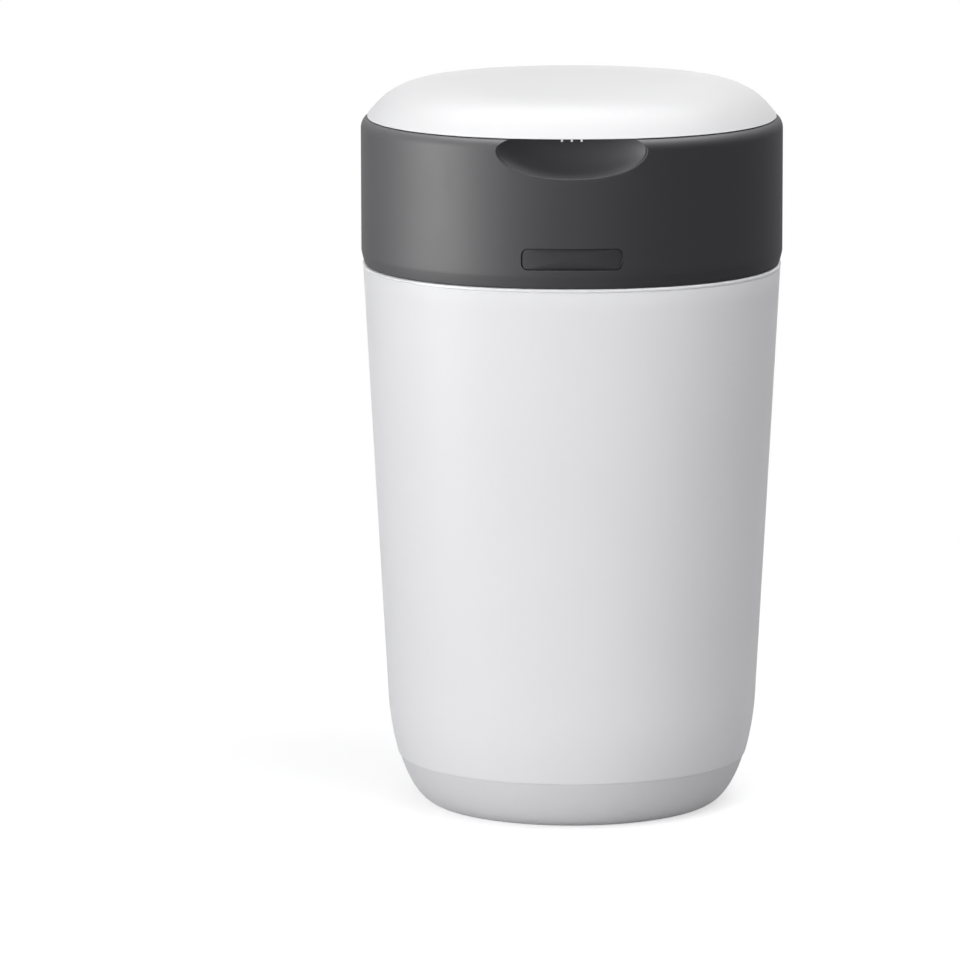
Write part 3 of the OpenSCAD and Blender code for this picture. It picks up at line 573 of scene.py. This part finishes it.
def scoop_lip(radius=0.7 * MM, count=160):
    """Rounds the scoop's rim: rings in the face at r (1 - sin t) outside the rim and r (1 - cos t) deep.

    The rim is where the scoop's ellipsoid meets the curved face; its share k of the ellipse is found by
    halving. The first point lies off the axis, so that no point falls on an edge of the scoop.
    """
    s = sizes()
    turn = full_turn(count) + 0.013
    x, z = s.scoop_half * np.cos(turn), s.scoop_height * np.sin(turn)
    low, high = np.zeros(count), np.ones(count)
    for _ in range(40):
        k = (low + high) / 2
        inside = k**2 + ((face_y(k * x) + s.half_depth) / s.scoop_depth) ** 2 < 1
        low, high = np.where(inside, k, low), np.where(inside, high, k)
    x, z = k * x, k * z
    reach = np.hypot(x, z)
    t = np.radians(np.linspace(15, 90, 8))
    rings = [(share, 2.6 * radius, -1 * MM) for share in (0.02, 0.3, 0.6, 0.85, 1)]
    rings.append((1, 1.8 * radius, -0.25 * radius))
    rings += [(1, radius * (1 - math.sin(a)), radius * (1 - math.cos(a))) for a in t]
    rings += [(share, -0.1 * MM, 1.2 * MM) for share in (0.97, 0.85, 0.6, 0.3, 0.02)]
    rows = []
    for share, out, deep in rings:
        grow = share * (1 + out / reach)
        rows.append(np.stack([x * grow, face_y(x * grow) + deep, z * grow + scoop_level()], -1))
    return solid(np.stack(rows[::-1]))


def swing_relief():
    """What would dip below the seam as the head opens: a bar bent about the hinge, r cos t and r sin t."""
    s = sizes()
    wide, near, far = s.half_width, s.low_radius, 1.5 * s.low_radius
    axis_y, axis_z = hinge_axis()
    corners = [(-wide, near), (wide, near), (wide, far), (-wide, far)]
    turn = arc(1.0, -90, 0, 24)
    rows = [[(x, axis_y + r * y, axis_z + r * z) for x, r in corners] for y, z in turn]
    return solid(np.array(rows))


def notch_solids():
    """The shelf round the hinge notch, cut off short of the head's face, and the notch itself."""
    s = sizes()
    back = s.half_depth - s.notch_in
    floor = s.land + s.lid_gap - s.notch_drop
    wide = s.notch_half + s.wall
    shelf_low = (-wide, back - s.wall, floor - s.wall)
    shelf_high = (wide, s.half_depth + 6 * MM, s.land - s.deck_drop - 0.5 * MM)
    shelf = soft_box(shelf_low, shelf_high, 4 * MM, 0.2 * MM)
    shelf[..., 1] = np.minimum(shelf[..., 1], -face_y(shelf[..., 0], SKIN))
    notch_low = (-s.notch_half, back, floor)
    notch_high = (s.notch_half, s.half_depth + 10 * MM, s.land + 6 * MM)
    return solid(shelf), solid(soft_box(notch_low, notch_high, 4 * MM, 0.1 * MM))


def window_solids():
    """The thicker wall round the button's window, cut off short of the head's face, and the window itself."""
    s = sizes()
    front, middle = -s.half_depth, s.seam + s.button_middle

    def block(grow, deep, corner):
        """A block round the button's plate, wider all round, with a depth behind the front."""
        half, tall = s.button_width / 2 + grow, s.button_height / 2 + grow
        low, high = (-half, front - 2 * MM, middle - tall), (half, front + deep, middle + tall)
        return soft_box(low, high, s.button_corner + corner, 0.1 * MM, axis=1)

    surround = block(4 * MM, 7 * MM, 2 * MM)
    surround[..., 1] = np.maximum(surround[..., 1], face_y(surround[..., 0], SKIN))
    return solid(surround), solid(block(0.3 * MM, 20 * MM, 0.3 * MM))


def pivot_cuts():
    """Room for the hinge: a rod about the pin for the knuckles, and a slot for each lug."""
    s = sizes()
    axis_y, axis_z = hinge_axis()
    t = full_turn(64)
    room = KNUCKLE + 0.3 * MM
    ring = np.stack([room * np.cos(t), room * np.sin(t)], -1)
    cuts = [solid(stack([ring, ring], [-PIVOT_REACH, PIVOT_REACH], 0, (0, axis_y, axis_z)))]
    for side in (-1, 1):
        left, right = sorted([side * (LUG_IN - 0.5 * MM), side * (LUG_OUT + 0.5 * MM)])
        low = (left, axis_y - KNUCKLE, s.seam - 1 * MM)
        high = (right, s.half_depth + 2 * MM, axis_z + 6 * MM)
        cuts.append(solid(soft_box(low, high, 0.6 * MM, 0.6 * MM)))
    return cuts


def head_mesh():
    """The head's shell with the scoop, the hinge notch, the button's window and the hinge slots."""
    shelf, notch = notch_solids()
    surround, window = window_solids()
    pocket = carve("scoop_wall", scoop_solid(sizes().wall), [("INTERSECT", head_fill())])
    steps = [("UNION", part) for part in (solid_of(pocket), shelf, surround)]
    cuts = [scoop_solid(), scoop_lip(), swing_relief(), notch, window, *pivot_cuts()]
    steps += [("DIFFERENCE", cut) for cut in cuts]
    return carve("head_shell", solid(loft(head_rows()), closed=True), steps)


class BIN_OT_head(bpy.types.Operator):
    """Dark head cover with its finger scoop, hinge notch and button window"""

    bl_idname = "nappy_bin.head"
    bl_label = "Head"

    def execute(self, context):
        mesh = head_mesh()
        if len(mesh.polygons) < 1000:
            raise RuntimeError("the head's cuts failed")
        finish_piece("head_shell", mesh, "head", ["head_cover"], 28)
        return {"FINISHED"}


# ---- lid


def lid_solid():
    """The lid: z = edge + rise (1 - k^m) for the share k of its outline, a rolled edge and an inner skin."""
    s = sizes()
    edge = s.land + s.lid_gap
    rise = s.lid_top - edge

    def ring(inset, k, z):
        """The share k of the lid's outline, standing in by an inset."""
        half_width, half_depth = (half - s.lid_inset - inset for half in (s.half_width, s.half_depth))
        return (half_width * k, half_depth * k, s.squareness, z)

    share = np.sqrt(np.linspace(1, 0.0004, 80))
    rows = [ring(s.wall, k, edge + (rise - s.wall) * (1 - k**s.lid_full)) for k in share[::-2]]
    rows += [ring(0.5 * MM, 1, edge), ring(0.15 * MM, 1, edge + 0.06 * MM), ring(0, 1, edge + 0.3 * MM)]
    rows += [ring(0, k, edge + rise * (1 - k**s.lid_full)) for k in share[1:]]
    return solid(loft(rows))


def pull_ribs():
    """Three small ribs under the lid's front lip."""
    s = sizes()
    edge = s.land + s.lid_gap
    front = s.lid_inset - s.half_depth
    half = 0.65 * MM
    ribs = []
    for x in (-s.rib_pitch, 0, s.rib_pitch):
        low = (x - half, front + 0.6 * MM, edge - s.rib_drop)
        high = (x + half, front + 8 * MM, edge + 0.8 * MM)
        ribs.append(solid(soft_box(low, high, 0.4 * MM, 0.3 * MM)))
    return ribs


def screw_posts():
    """Four posts under the crown, round the bores that the lid's screws run in."""
    s = sizes()
    span = (s.land + s.lid_gap + 4.5 * MM, s.lid_top - s.wall - 0.6 * MM)
    reach = SCREWS_OUTER - SCREW_HEAD
    places = [(x, y, 0) for x in (-reach, reach) for y in (-reach, reach)]
    return [solid(sleeve(2, span, POST, POST_BORE, centre), closed=True) for centre in places]


class BIN_OT_lid(bpy.types.Operator):
    """White crowned lid with three pull ribs under its front lip"""

    bl_idname = "nappy_bin.lid"
    bl_label = "Lid"

    def execute(self, context):
        mesh = mesh_of("lid_crown", [lid_solid(), *pull_ribs(), *screw_posts()])
        finish_piece("lid_crown", mesh, "lid", ["lid_shell"])
        return {"FINISHED"}


# ---- button


def button_plate():
    """The plate: y = face(x) + e (1 - cos t) over its edge, and d (1 - (z / h)^2) more on its dished face."""
    s = sizes()
    width, height, corner = s.button_width, s.button_height, s.button_corner
    edge, dish, thick = 0.45 * MM, 0.25 * MM, 2.6 * MM
    t = np.radians(np.linspace(0, 90, 6))[1:]
    shares = np.linspace(0.02, 1, 12)
    rings = [outline((height - 2 * edge) * k, (width - 2 * edge) * k, (corner - edge) * k) for k in shares]
    insets = [*(edge * (1 - np.sin(t))), 0.0]
    rings += [outline(height - 2 * i, width - 2 * i, corner - i) for i in insets]
    grid = stack(rings, [*(0 * shares), *(edge * (1 - np.cos(t))), thick], 1)
    hollow = dish * (1 - np.clip((grid[..., 2] / (height / 2)) ** 2, 0, 1))
    grid[..., 1] += face_y(grid[..., 0], 0.5 * MM) + np.where(grid[..., 1] < 0.1 * MM, hollow, 0)
    grid[..., 2] += s.seam + s.button_middle
    return solid(grid)


def button_leg():
    """Behind the plate: a bar inwards, a leg down past the seam, and the hook that the strike holds."""
    s = sizes()
    front, middle, half = s.half_depth, s.seam + s.button_middle, 8 * MM
    near, far = s.low_radius + 0.7 * MM - front, s.low_radius + 3.5 * MM - front
    low, hook_top = s.seam - 10 * MM, s.seam - 7.3 * MM
    bars = (
        ((2.2 * MM - front, middle - 4 * MM), (far, middle), 0.4 * MM),
        ((near, low), (far, middle), 0.4 * MM),
        ((near - 2.2 * MM, low), (near + 1 * MM, hook_top), 0.3 * MM),
    )
    return [solid(soft_box((-half, *first), (half, *last), 0.4 * MM, edge)) for first, last, edge in bars]


class BIN_OT_button(bpy.types.Operator):
    """Release button: a curved face with a soft edge, its leg and its hook"""

    bl_idname = "nappy_bin.button"
    bl_label = "Button"

    def execute(self, context):
        mesh = mesh_of("button_face", [button_plate(), *button_leg()])
        finish_piece("button_face", mesh, "button", ["release_button"])
        return {"FINISHED"}


# ---- film


def film_section(inner, outer, low, high, across=16):
    """Outline r, z of the pleated ring: walls that stand in by 2 mm (1 - w), w = (1 - cos 2 pi n u) / 2."""
    s = sizes()
    fold = 2 * MM
    up = np.linspace(0, 1, s.pleats * 6 + 1)
    slack = fold * (1 - (0.5 - 0.5 * np.cos(2 * np.pi * s.pleats * up)))
    share = np.linspace(0, 1, across)[1:-1]
    span = outer - inner - 2 * fold
    outside = np.stack([outer - slack, low + (high - low) * up], -1)
    top = np.stack([outer - fold - span * share, high + 0 * share], -1)
    inside = np.stack([inner + slack, low + (high - low) * up], -1)[::-1]
    floor = np.stack([inner + fold + span * share, low + 0 * share], -1)
    return np.concatenate([outside, top, inside, floor])


def film_solid(around=480):
    """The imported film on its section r, z: walls rippled by q sin(61 t + 40 pi u) (1 - b), a crinkled top.

    The top is raised by sqrt(b) (fan + crease + lump), three waves in the turn t and in r, where b falls from
    one in the middle of the ring to zero at its walls.
    """
    inner, outer = TUBE_OUTER + 1.5 * MM, FILM_HIGH[0] - 0.3 * MM
    low, high = FILM_LOW[2] + 0.3 * MM, FILM_HIGH[2] - 0.9 * MM
    section = film_section(inner, outer, low, high)
    t = full_turn(around)
    r, z = section[:, :1], section[:, 1:]
    lift = np.clip((z - low) / (high - low), 0, 1)
    body = np.clip(1 - np.abs(r - (inner + outer) / 2) / ((outer - inner) / 2), 0, 1)
    fan = np.sin(46 * t + 900 * r + 3 * np.sin(5 * t))
    crease = np.abs(np.sin(29 * t - 700 * r + 2 * np.sin(7 * t + 1)))
    lump = np.sin(11 * t + 2 * np.sin(3 * t))
    swell = (0.35 * fan + 0.5 * crease + 0.35 * lump) * MM
    radius = r + 0.25 * MM * np.sin(61 * t + 40 * np.pi * lift) * (1 - body)
    height = z + np.where(lift > 0.98, body**0.5, 0) * (swell - 0.4 * MM)
    return solid(np.stack([radius * np.cos(t), radius * np.sin(t), height + 0 * radius], -1), closed=True)


class BIN_OT_film(bpy.types.Operator):
    """Packed film: one pleated sleeve, folded like a bellows and crinkled"""

    bl_idname = "nappy_bin.film"
    bl_label = "Film"

    def execute(self, context):
        mesh = mesh_of("film_folds", [film_solid()])
        finish_piece("film_folds", mesh, "rotor", ["film_pack"], 60)
        return {"FINISHED"}


# ---- finishes


class Socket:
    """One output of a node; arithmetic with it adds Math nodes."""

    def __init__(self, graph, output):
        self.graph = graph
        self.output = output

    def math(self, operation, *values):
        """A Math node over this or other values."""
        return self.graph.node("ShaderNodeMath", {"operation": operation}, values)

    def __add__(self, other):
        return self.math("ADD", self, other)

    def __sub__(self, other):
        return self.math("SUBTRACT", self, other)

    def __rsub__(self, other):
        return self.math("SUBTRACT", other, self)

    def __mul__(self, other):
        return self.math("MULTIPLY", self, other)

    __radd__ = __add__
    __rmul__ = __mul__

    def ramp(self, low, high):
        """A smooth step from 0 at the low value to 1 at the high one."""
        inputs = {0: self, 1: low, 2: high, 3: 0.0, 4: 1.0}
        return self.graph.node("ShaderNodeMapRange", {"interpolation_type": "SMOOTHSTEP"}, inputs)


class Graph:
    """A node tree, whose nodes all come from one method."""

    def __init__(self, tree):
        self.tree = tree

    def node(self, kind, settings=None, inputs=(), output=0):
        """Adds a node: its settings first, then the values or links of its inputs by number or name."""
        made = self.tree.nodes.new(kind)
        for key, value in (settings or {}).items():
            setattr(made, key, value)
        for key, value in inputs.items() if isinstance(inputs, dict) else enumerate(inputs):
            self.feed(made.inputs[key], value)
        return Socket(self, made.outputs[output]) if made.outputs else None

    def feed(self, socket, value):
        """Links a Socket to an input, or sets the input's value."""
        if isinstance(value, Socket):
            self.tree.links.new(value.output, socket)
        else:
            socket.default_value = value


class Finish(Graph):
    """A material on the Principled shader; its patterns read Object coordinates in metres."""

    def __init__(self, name, constants):
        self.material = bpy.data.materials.new(name)
        self.material.use_nodes = True
        super().__init__(self.material.node_tree)
        self.shader = next(n for n in self.tree.nodes if n.type == "BSDF_PRINCIPLED")
        for key, value in constants.items():
            self.shader.inputs[key].default_value = value
        self.at = self.node("ShaderNodeTexCoord", output="Object")

    def stretched(self, scale):
        """The coordinates scaled along each axis."""
        return self.node("ShaderNodeMapping", None, {"Vector": self.at, "Scale": scale})

    def noise(self, scale, detail=2.0, roughness=0.5, at=None):
        """Smooth noise with a mean of about a half, so many lumps to the metre."""
        inputs = {"Vector": at or self.at, "Scale": scale, "Detail": detail, "Roughness": roughness}
        return self.node("ShaderNodeTexNoise", None, inputs)

    def height(self):
        """The height over the floor."""
        return self.node("ShaderNodeSeparateXYZ", None, (self.at,), "Z")

    def mixed(self, mask, first, second):
        """The first colour where the mask is 0 and the second where it is 1."""
        rgba = [(*c, 1.0) if isinstance(c, tuple) else c for c in (first, second)]
        return self.node("ShaderNodeMix", {"data_type": "RGBA"}, {0: mask, 6: rgba[0], 7: rgba[1]}, 2)

    def set(self, colour, roughness, height, distance, strength):
        """Feeds the shader's colour, its roughness, and a bump of a height times a distance."""
        inputs = {"Strength": strength, "Distance": distance, "Height": height}
        bump = self.node("ShaderNodeBump", None, inputs)
        for key, value in {"Base Color": colour, "Roughness": roughness, "Normal": bump}.items():
            self.feed(self.shader.inputs[key], value)
        return self.material


def shades(colour, spread):
    """A colour a little darker and a little lighter."""
    rgb = tuple(colour)
    return tuple(c * (1 - spread) for c in rgb), tuple(min(1.0, c * (1 + spread)) for c in rgb)


def moulded(name, colour, rough, spread, grain, depth, scuffs):
    """Moulded plastic: faint cloudy tone, spark-eroded grain, and scuffs that change the gloss in places."""
    finish = Finish(name, {"IOR": 1.49, "Specular IOR Level": 0.1})
    cloud = finish.noise(7.0, 3.0).ramp(0.3, 0.7)
    dark, light = shades(colour, spread)
    spark = finish.noise(grain, 2.0, 0.6)
    rub = finish.noise(24.0, 5.0, 0.7).ramp(0.56, 0.74)
    roughness = rough + 0.05 * (cloud - 0.5) + 0.08 * (spark - 0.5) + scuffs * rub
    return finish.set(finish.mixed(cloud, dark, light), roughness, spark, depth, 0.6)


def cassette_plastic():
    """Dark glossy plastic with flow lines down its thin walls."""
    finish = Finish("cassette_plastic", {"IOR": 1.5, "Specular IOR Level": 0.2})
    flow = finish.noise(60.0, 4.0, 0.6, finish.stretched((1.0, 1.0, 0.12))).ramp(0.35, 0.7)
    speck = finish.noise(900.0, 2.0)
    dark, light = shades(colours().cassette, 0.22)
    roughness = 0.26 + 0.10 * flow + 0.06 * speck
    return finish.set(finish.mixed(flow, dark, light), roughness, speck, 0.008 * MM, 0.5)


def ground_steel():
    """Steel with grinding lines along its length and slightly duller patches."""
    finish = Finish("ground_steel", {"Metallic": 1.0})
    lines = finish.noise(900.0, 3.0, 0.6, finish.stretched((0.05, 1.0, 1.0)))
    dull = finish.noise(120.0, 3.0).ramp(0.4, 0.7)
    dark, light = shades(colours().steel, 0.10)
    roughness = 0.22 + 0.14 * dull + 0.1 * lines
    return finish.set(finish.mixed(lines.ramp(0.3, 0.7), dark, light), roughness, lines, 0.01 * MM, 0.5)


def soft_rubber(name, colour, bloom):
    """Soft moulding with a matt grain and a pale bloom in patches."""
    finish = Finish(name, {"IOR": 1.45, "Specular IOR Level": 0.2})
    patch = finish.noise(45.0, 4.0, 0.6).ramp(0.45, 0.8)
    grain = finish.noise(1300.0, 3.0, 0.6)
    dark, light = shades(colour, bloom)
    roughness = 0.62 + 0.12 * patch + 0.1 * (grain - 0.5)
    return finish.set(finish.mixed(patch, dark, light), roughness, grain, 0.04 * MM, 0.6)


def printed_film():
    """Thin film in soft mottled patches of light, green and grey, with fine crinkles."""
    c = colours()
    finish = Finish("printed_film", {"IOR": 1.5, "Specular IOR Level": 0.12})
    patch = finish.noise(70.0, 1.0, 0.4)
    spot = finish.noise(110.0, 1.0, 0.4, finish.stretched((1.0, 1.3, 0.8)))
    base = finish.mixed(patch.ramp(0.50, 0.53), tuple(c.film_light), tuple(c.film_green))
    colour = finish.mixed(spot.ramp(0.60, 0.62), base, tuple(c.film_grey))
    crinkle = finish.noise(420.0, 3.0, 0.65)
    return finish.set(colour, 0.34 + 0.2 * crinkle, crinkle, 0.25 * MM, 0.8)


def white_tub():
    """The tub's satin white: grain, faint cloud, scuffs that gather towards the floor, and painted shade on
    the foot below the crease.
    """
    finish = Finish("white_tub", {"IOR": 1.49, "Specular IOR Level": 0.012})
    height = finish.height()
    cloud = finish.noise(6.0, 3.0).ramp(0.3, 0.7)
    spark = finish.noise(1500.0, 2.0, 0.6)
    rub = finish.noise(30.0, 6.0, 0.7).ramp(0.58, 0.78) * (1.0 - height.ramp(0.0, 0.09))
    white, crease = np.array(colours().tub), sizes().crease
    body = finish.mixed(cloud, *shades(white, 0.012))
    # painted shade: below the crease the white is taken at 0.87, darker where the base turns under and faces
    # away from the light
    foot = finish.mixed(cloud, *shades(white * 0.87, 0.012))
    # mask of the painted shade: one below the crease and zero above it, blended over one millimetre
    low = 1.0 - height.ramp(crease - 0.5 * MM, crease + 0.5 * MM)
    worn = finish.mixed(0.25 * rub, finish.mixed(low, body, foot), tuple(white * 0.75))
    return finish.set(worn, 0.42 + 0.05 * cloud + 0.12 * rub, spark, 0.012 * MM, 0.5)


def white_lid():
    """The lid's glossier white, with hair scratches where hands and cloths rub it."""
    finish = Finish("white_lid", {"IOR": 1.49, "Specular IOR Level": 0.012})
    cloud = finish.noise(6.0, 3.0).ramp(0.3, 0.7)
    hair = finish.noise(260.0, 2.0, 0.5, finish.stretched((0.08, 1.0, 1.0))).ramp(0.60, 0.68)
    spark = finish.noise(1700.0, 2.0, 0.6)
    dark, light = shades(colours().lid, 0.01)
    roughness = 0.40 + 0.05 * cloud + 0.07 * hair
    return finish.set(finish.mixed(cloud, dark, light), roughness, spark - 0.3 * hair, 0.008 * MM, 0.5)


def smooth_by_angle():
    """Node group that merges a CAD node's loose triangles and smooths edges under 30 degrees."""
    group = bpy.data.node_groups.new("smooth_by_angle", "GeometryNodeTree")
    group.interface.new_socket("Geometry", in_out="INPUT", socket_type="NodeSocketGeometry")
    group.interface.new_socket("Geometry", in_out="OUTPUT", socket_type="NodeSocketGeometry")
    graph = Graph(group)
    start = graph.node("NodeGroupInput")
    merged = graph.node("GeometryNodeMergeByDistance", None, {"Geometry": start, "Distance": 0.001 * MM})
    angle = graph.node("GeometryNodeInputMeshEdgeAngle", output="Unsigned Angle")
    test = {"data_type": "FLOAT", "operation": "LESS_THAN"}
    soft = graph.node("FunctionNodeCompare", test, (angle, math.radians(30)))
    faces = graph.node("GeometryNodeSetShadeSmooth", None, {"Geometry": merged})
    inputs = {"Geometry": faces, "Shade Smooth": soft}
    edges = graph.node("GeometryNodeSetShadeSmooth", {"domain": "EDGE"}, inputs)
    graph.node("NodeGroupOutput", None, (edges,))
    return group


def dress(thing, material):
    """Gives an object one material in all its slots."""
    if not thing.material_slots:
        thing.data.materials.append(material)
    for slot in thing.material_slots:
        slot.material = material


class BIN_OT_finishes(bpy.types.Operator):
    """Plastics, rubber, steel and film on every piece and every carried-over node"""

    bl_idname = "nappy_bin.finishes"
    bl_label = "Finishes"

    def execute(self, context):
        c = colours()
        # roughness, spread of tone, grains to the metre, grain depth and scuffs of each moulding
        looks = (
            (moulded("dark_head", c.head, 0.66, 0.03, 1300.0, 0.02 * MM, 0.03), ["head_shell"]),
            (moulded("dark_works", c.head, 0.48, 0.05, 1200.0, 0.02 * MM, 0.04), ["lid_hinge_bracket"]),
            (moulded("dark_button", c.button, 0.55, 0.04, 1500.0, 0.012 * MM, 0.04), ["button_face"]),
            (
                moulded("grey_chassis", c.chassis, 0.5, 0.04, 1100.0, 0.025 * MM, 0.05),
                ["head_chassis", "gripper_clamp"],
            ),
            (
                moulded("white_inner", c.inner, 0.38, 0.015, 1400.0, 0.012 * MM, 0.05),
                ["lid_liner", "turntable", "twist_ring", "cutter_ring"],
            ),
            (moulded("white_rim", c.tub, 0.36, 0.01, 1500.0, 0.01 * MM, 0.02), ["rim_bead"]),
            (moulded("natural_pawl", c.pawl, 0.34, 0.03, 1000.0, 0.01 * MM, 0.0), ["click_pawl"]),
            (cassette_plastic(), ["cassette_cup", "cassette_tube", "cassette_top_ring"]),
            (
                ground_steel(),
                ["head_hinge_pin", "lid_hinge_pin", "chassis_screws", "lid_screws", "cutter_blade"],
            ),
            (soft_rubber("soft_petals", c.petal, 0.12), ["gripper_ring"]),
            (soft_rubber("soft_seal", c.seal, 0.05), ["lid_seal"]),
            (white_tub(), ["tub_skin"]),
            (white_lid(), ["lid_crown"]),
            (printed_film(), ["film_folds"]),
        )
        group = smooth_by_angle()
        for material, names in looks:
            for name in names:
                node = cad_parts.get(name)
                dress(node or bpy.data.objects[name], material)
                if node:
                    node.modifiers.new("smooth", "NODES").node_group = group
        return {"FINISHED"}


# ---- stage


def seen_rays(graph):
    """One for rays from the camera, mirrors and glass, and zero for the rest."""
    kinds = ("Is Camera Ray", "Is Glossy Ray", "Is Transmission Ray")
    camera, glossy, clear = (graph.node("ShaderNodeLightPath", output=kind) for kind in kinds)
    return camera.math("MAXIMUM", camera.math("MAXIMUM", camera, glossy), clear)


def floor_material():
    """Pale floor, seen as white away from the bin, with the bin's shadow kept near it."""
    material = bpy.data.materials.new("pale_floor")
    material.use_nodes = True
    graph = Graph(material.node_tree)
    graph.tree.nodes.clear()
    pale = graph.node("ShaderNodeBsdfDiffuse", None, {"Color": (0.62, 0.62, 0.63, 1)})
    glow = graph.node("ShaderNodeEmission", None, {"Strength": 0.62})
    white = graph.node("ShaderNodeEmission", None, {"Strength": 1.0})
    near = graph.node("ShaderNodeAddShader", None, (pale, glow))
    at = graph.node("ShaderNodeTexCoord", output="Object")
    away = graph.node("ShaderNodeVectorMath", {"operation": "LENGTH"}, (at,), "Value")
    reach = graph.node("ShaderNodeMapRange", None, {"Value": away, "From Min": 0.35, "From Max": 1.1})
    seen = graph.node("ShaderNodeMixShader", None, (reach, near, white))
    shader = graph.node("ShaderNodeMixShader", None, (seen_rays(graph), pale, seen))
    graph.node("ShaderNodeOutputMaterial", None, {"Surface": shader})
    return material


def room(ambient):
    """Even white room: dim for diffuse light, and white for the camera, mirrors and glass."""
    world = bpy.data.worlds.new("room")
    world.use_nodes = True
    graph = Graph(world.node_tree)
    graph.tree.nodes.clear()
    plain_white = (1.0, 1.0, 1.0, 1.0)
    dim = graph.node("ShaderNodeBackground", None, {"Color": plain_white, "Strength": ambient})
    white = graph.node("ShaderNodeBackground", None, {"Color": plain_white, "Strength": 1.0})
    shader = graph.node("ShaderNodeMixShader", None, (seen_rays(graph), dim, white))
    graph.node("ShaderNodeOutputWorld", None, {"Surface": shader})
    return world


def floor_mesh(rings=24, count=96):
    """A flat disc of rings that widen in even ratio, closed in the middle by a fan."""
    rows = loft([circle(r, 0.0) for r in np.geomspace(0.05, 14, rings)], count)[::-1]
    points = np.concatenate([rows.reshape(-1, 3), np.zeros((1, 3))])
    ring = np.arange(count)
    last = (rings - 1) * count
    middle = np.stack([np.full(count, rings * count), last + ring, last + (ring + 1) % count], -1)
    return mesh_of("floor", [(points, [quads(rings, count, False), middle])])


def lamp(name, power, width, height, azimuth, elevation, distance, aim):
    """A rectangular lamp round the bin; the azimuth runs from the front towards the left."""
    data = bpy.data.lights.new(name, "AREA")
    data.shape = "RECTANGLE"
    data.size = width
    data.size_y = height
    data.energy = power
    thing = place(name, data)
    a, e = math.radians(azimuth), math.radians(elevation)
    away = np.array([-math.sin(a) * math.cos(e), -math.cos(a) * math.cos(e), math.sin(e)])
    thing.location = away * distance + [0, 0, aim]
    thing.rotation_euler = (math.pi / 2 - e, 0, -a)
    return thing


def add_camera(studio):
    """The camera in front of the bin, with its frame shifted as in the photo."""
    data = bpy.data.cameras.new("camera")
    data.lens = studio.lens
    data.sensor_width = 36
    data.shift_x = studio.shift_x
    data.shift_y = studio.shift_y
    data.clip_end = 60
    camera = place("camera", data)
    away = studio.distance * np.array([0, -math.cos(studio.elevation), math.sin(studio.elevation)])
    camera.location = away + [0, 0, studio.aim]
    camera.rotation_euler = (math.pi / 2 - studio.elevation, 0, 0)
    return camera


class BIN_OT_stage(bpy.types.Operator):
    """Camera, lamps, room light and floor"""

    bl_idname = "nappy_bin.stage"
    bl_label = "Stage"

    def execute(self, context):
        scene = context.scene
        studio = scene.bin_studio
        scene.view_settings.view_transform = "Standard"
        scene.camera = add_camera(studio)
        # power, width, height, azimuth, elevation, distance and the height aimed at
        lamp("key_lamp", studio.key_light, 2.0, 1.8, 38, 6, 2.4, 0.25)
        lamp("top_lamp", studio.top_light, 1.5, 1.5, 0, 88, 2.0, 0.25)
        lamp("front_lamp", studio.front_light, 1.6, 1.2, -52, 62, 2.2, 0.25)
        cards = (
            lamp("side_card", studio.side_light, 0.28, 0.9, 65, 0, 1.0, 0.42),
            lamp("top_card", studio.top_card, 2.4, 1.6, 0, 98, 2.2, 0.25),
        )
        for card in cards:
            card.visible_diffuse = False
            card.visible_camera = False
        scene.world = room(studio.ambient)
        floor = place("floor", floor_mesh())
        floor.data.materials.append(floor_material())
        return {"FINISHED"}


class BIN_PT_panel(bpy.types.Panel):
    """Sizes, colours and operators of the nappy bin"""

    bl_idname = "BIN_PT_panel"
    bl_label = "Nappy Bin"
    bl_space_type = "VIEW_3D"
    bl_region_type = "UI"
    bl_category = "Nappy Bin"

    def draw(self, context):
        column = self.layout.column(align=True)
        for operator in OPERATORS:
            column.operator(operator.bl_idname)
        for group in (context.scene.bin_sizes, context.scene.bin_colours, context.scene.bin_studio):
            box = self.layout.box().column(align=True)
            for key in group.bl_rna.properties.keys():
                if key not in ("rna_type", "name"):
                    box.prop(group, key)


OPERATORS = (
    BIN_OT_stage, BIN_OT_tub, BIN_OT_rim, BIN_OT_head, BIN_OT_lid, BIN_OT_button, BIN_OT_film,
    BIN_OT_finishes,
)
CLASSES = (BinSizes, BinColours, BinStudio, *OPERATORS, BIN_PT_panel)


def register():
    """Registers the classes and their settings."""
    for cls in CLASSES:
        bpy.utils.register_class(cls)
    bpy.types.Scene.bin_sizes = PointerProperty(type=BinSizes)
    bpy.types.Scene.bin_colours = PointerProperty(type=BinColours)
    bpy.types.Scene.bin_studio = PointerProperty(type=BinStudio)


def unregister():
    """Removes what register added."""
    del bpy.types.Scene.bin_studio, bpy.types.Scene.bin_colours, bpy.types.Scene.bin_sizes
    for cls in reversed(CLASSES):
        bpy.utils.unregister_class(cls)


def main():
    """Builds everything in order."""
    register()
    bpy.ops.nappy_bin.stage()
    bpy.ops.nappy_bin.tub()
    bpy.ops.nappy_bin.rim()
    bpy.ops.nappy_bin.head()
    bpy.ops.nappy_bin.lid()
    bpy.ops.nappy_bin.button()
    bpy.ops.nappy_bin.film()
    bpy.ops.nappy_bin.finishes()


if __name__ == "__main__":
    main()
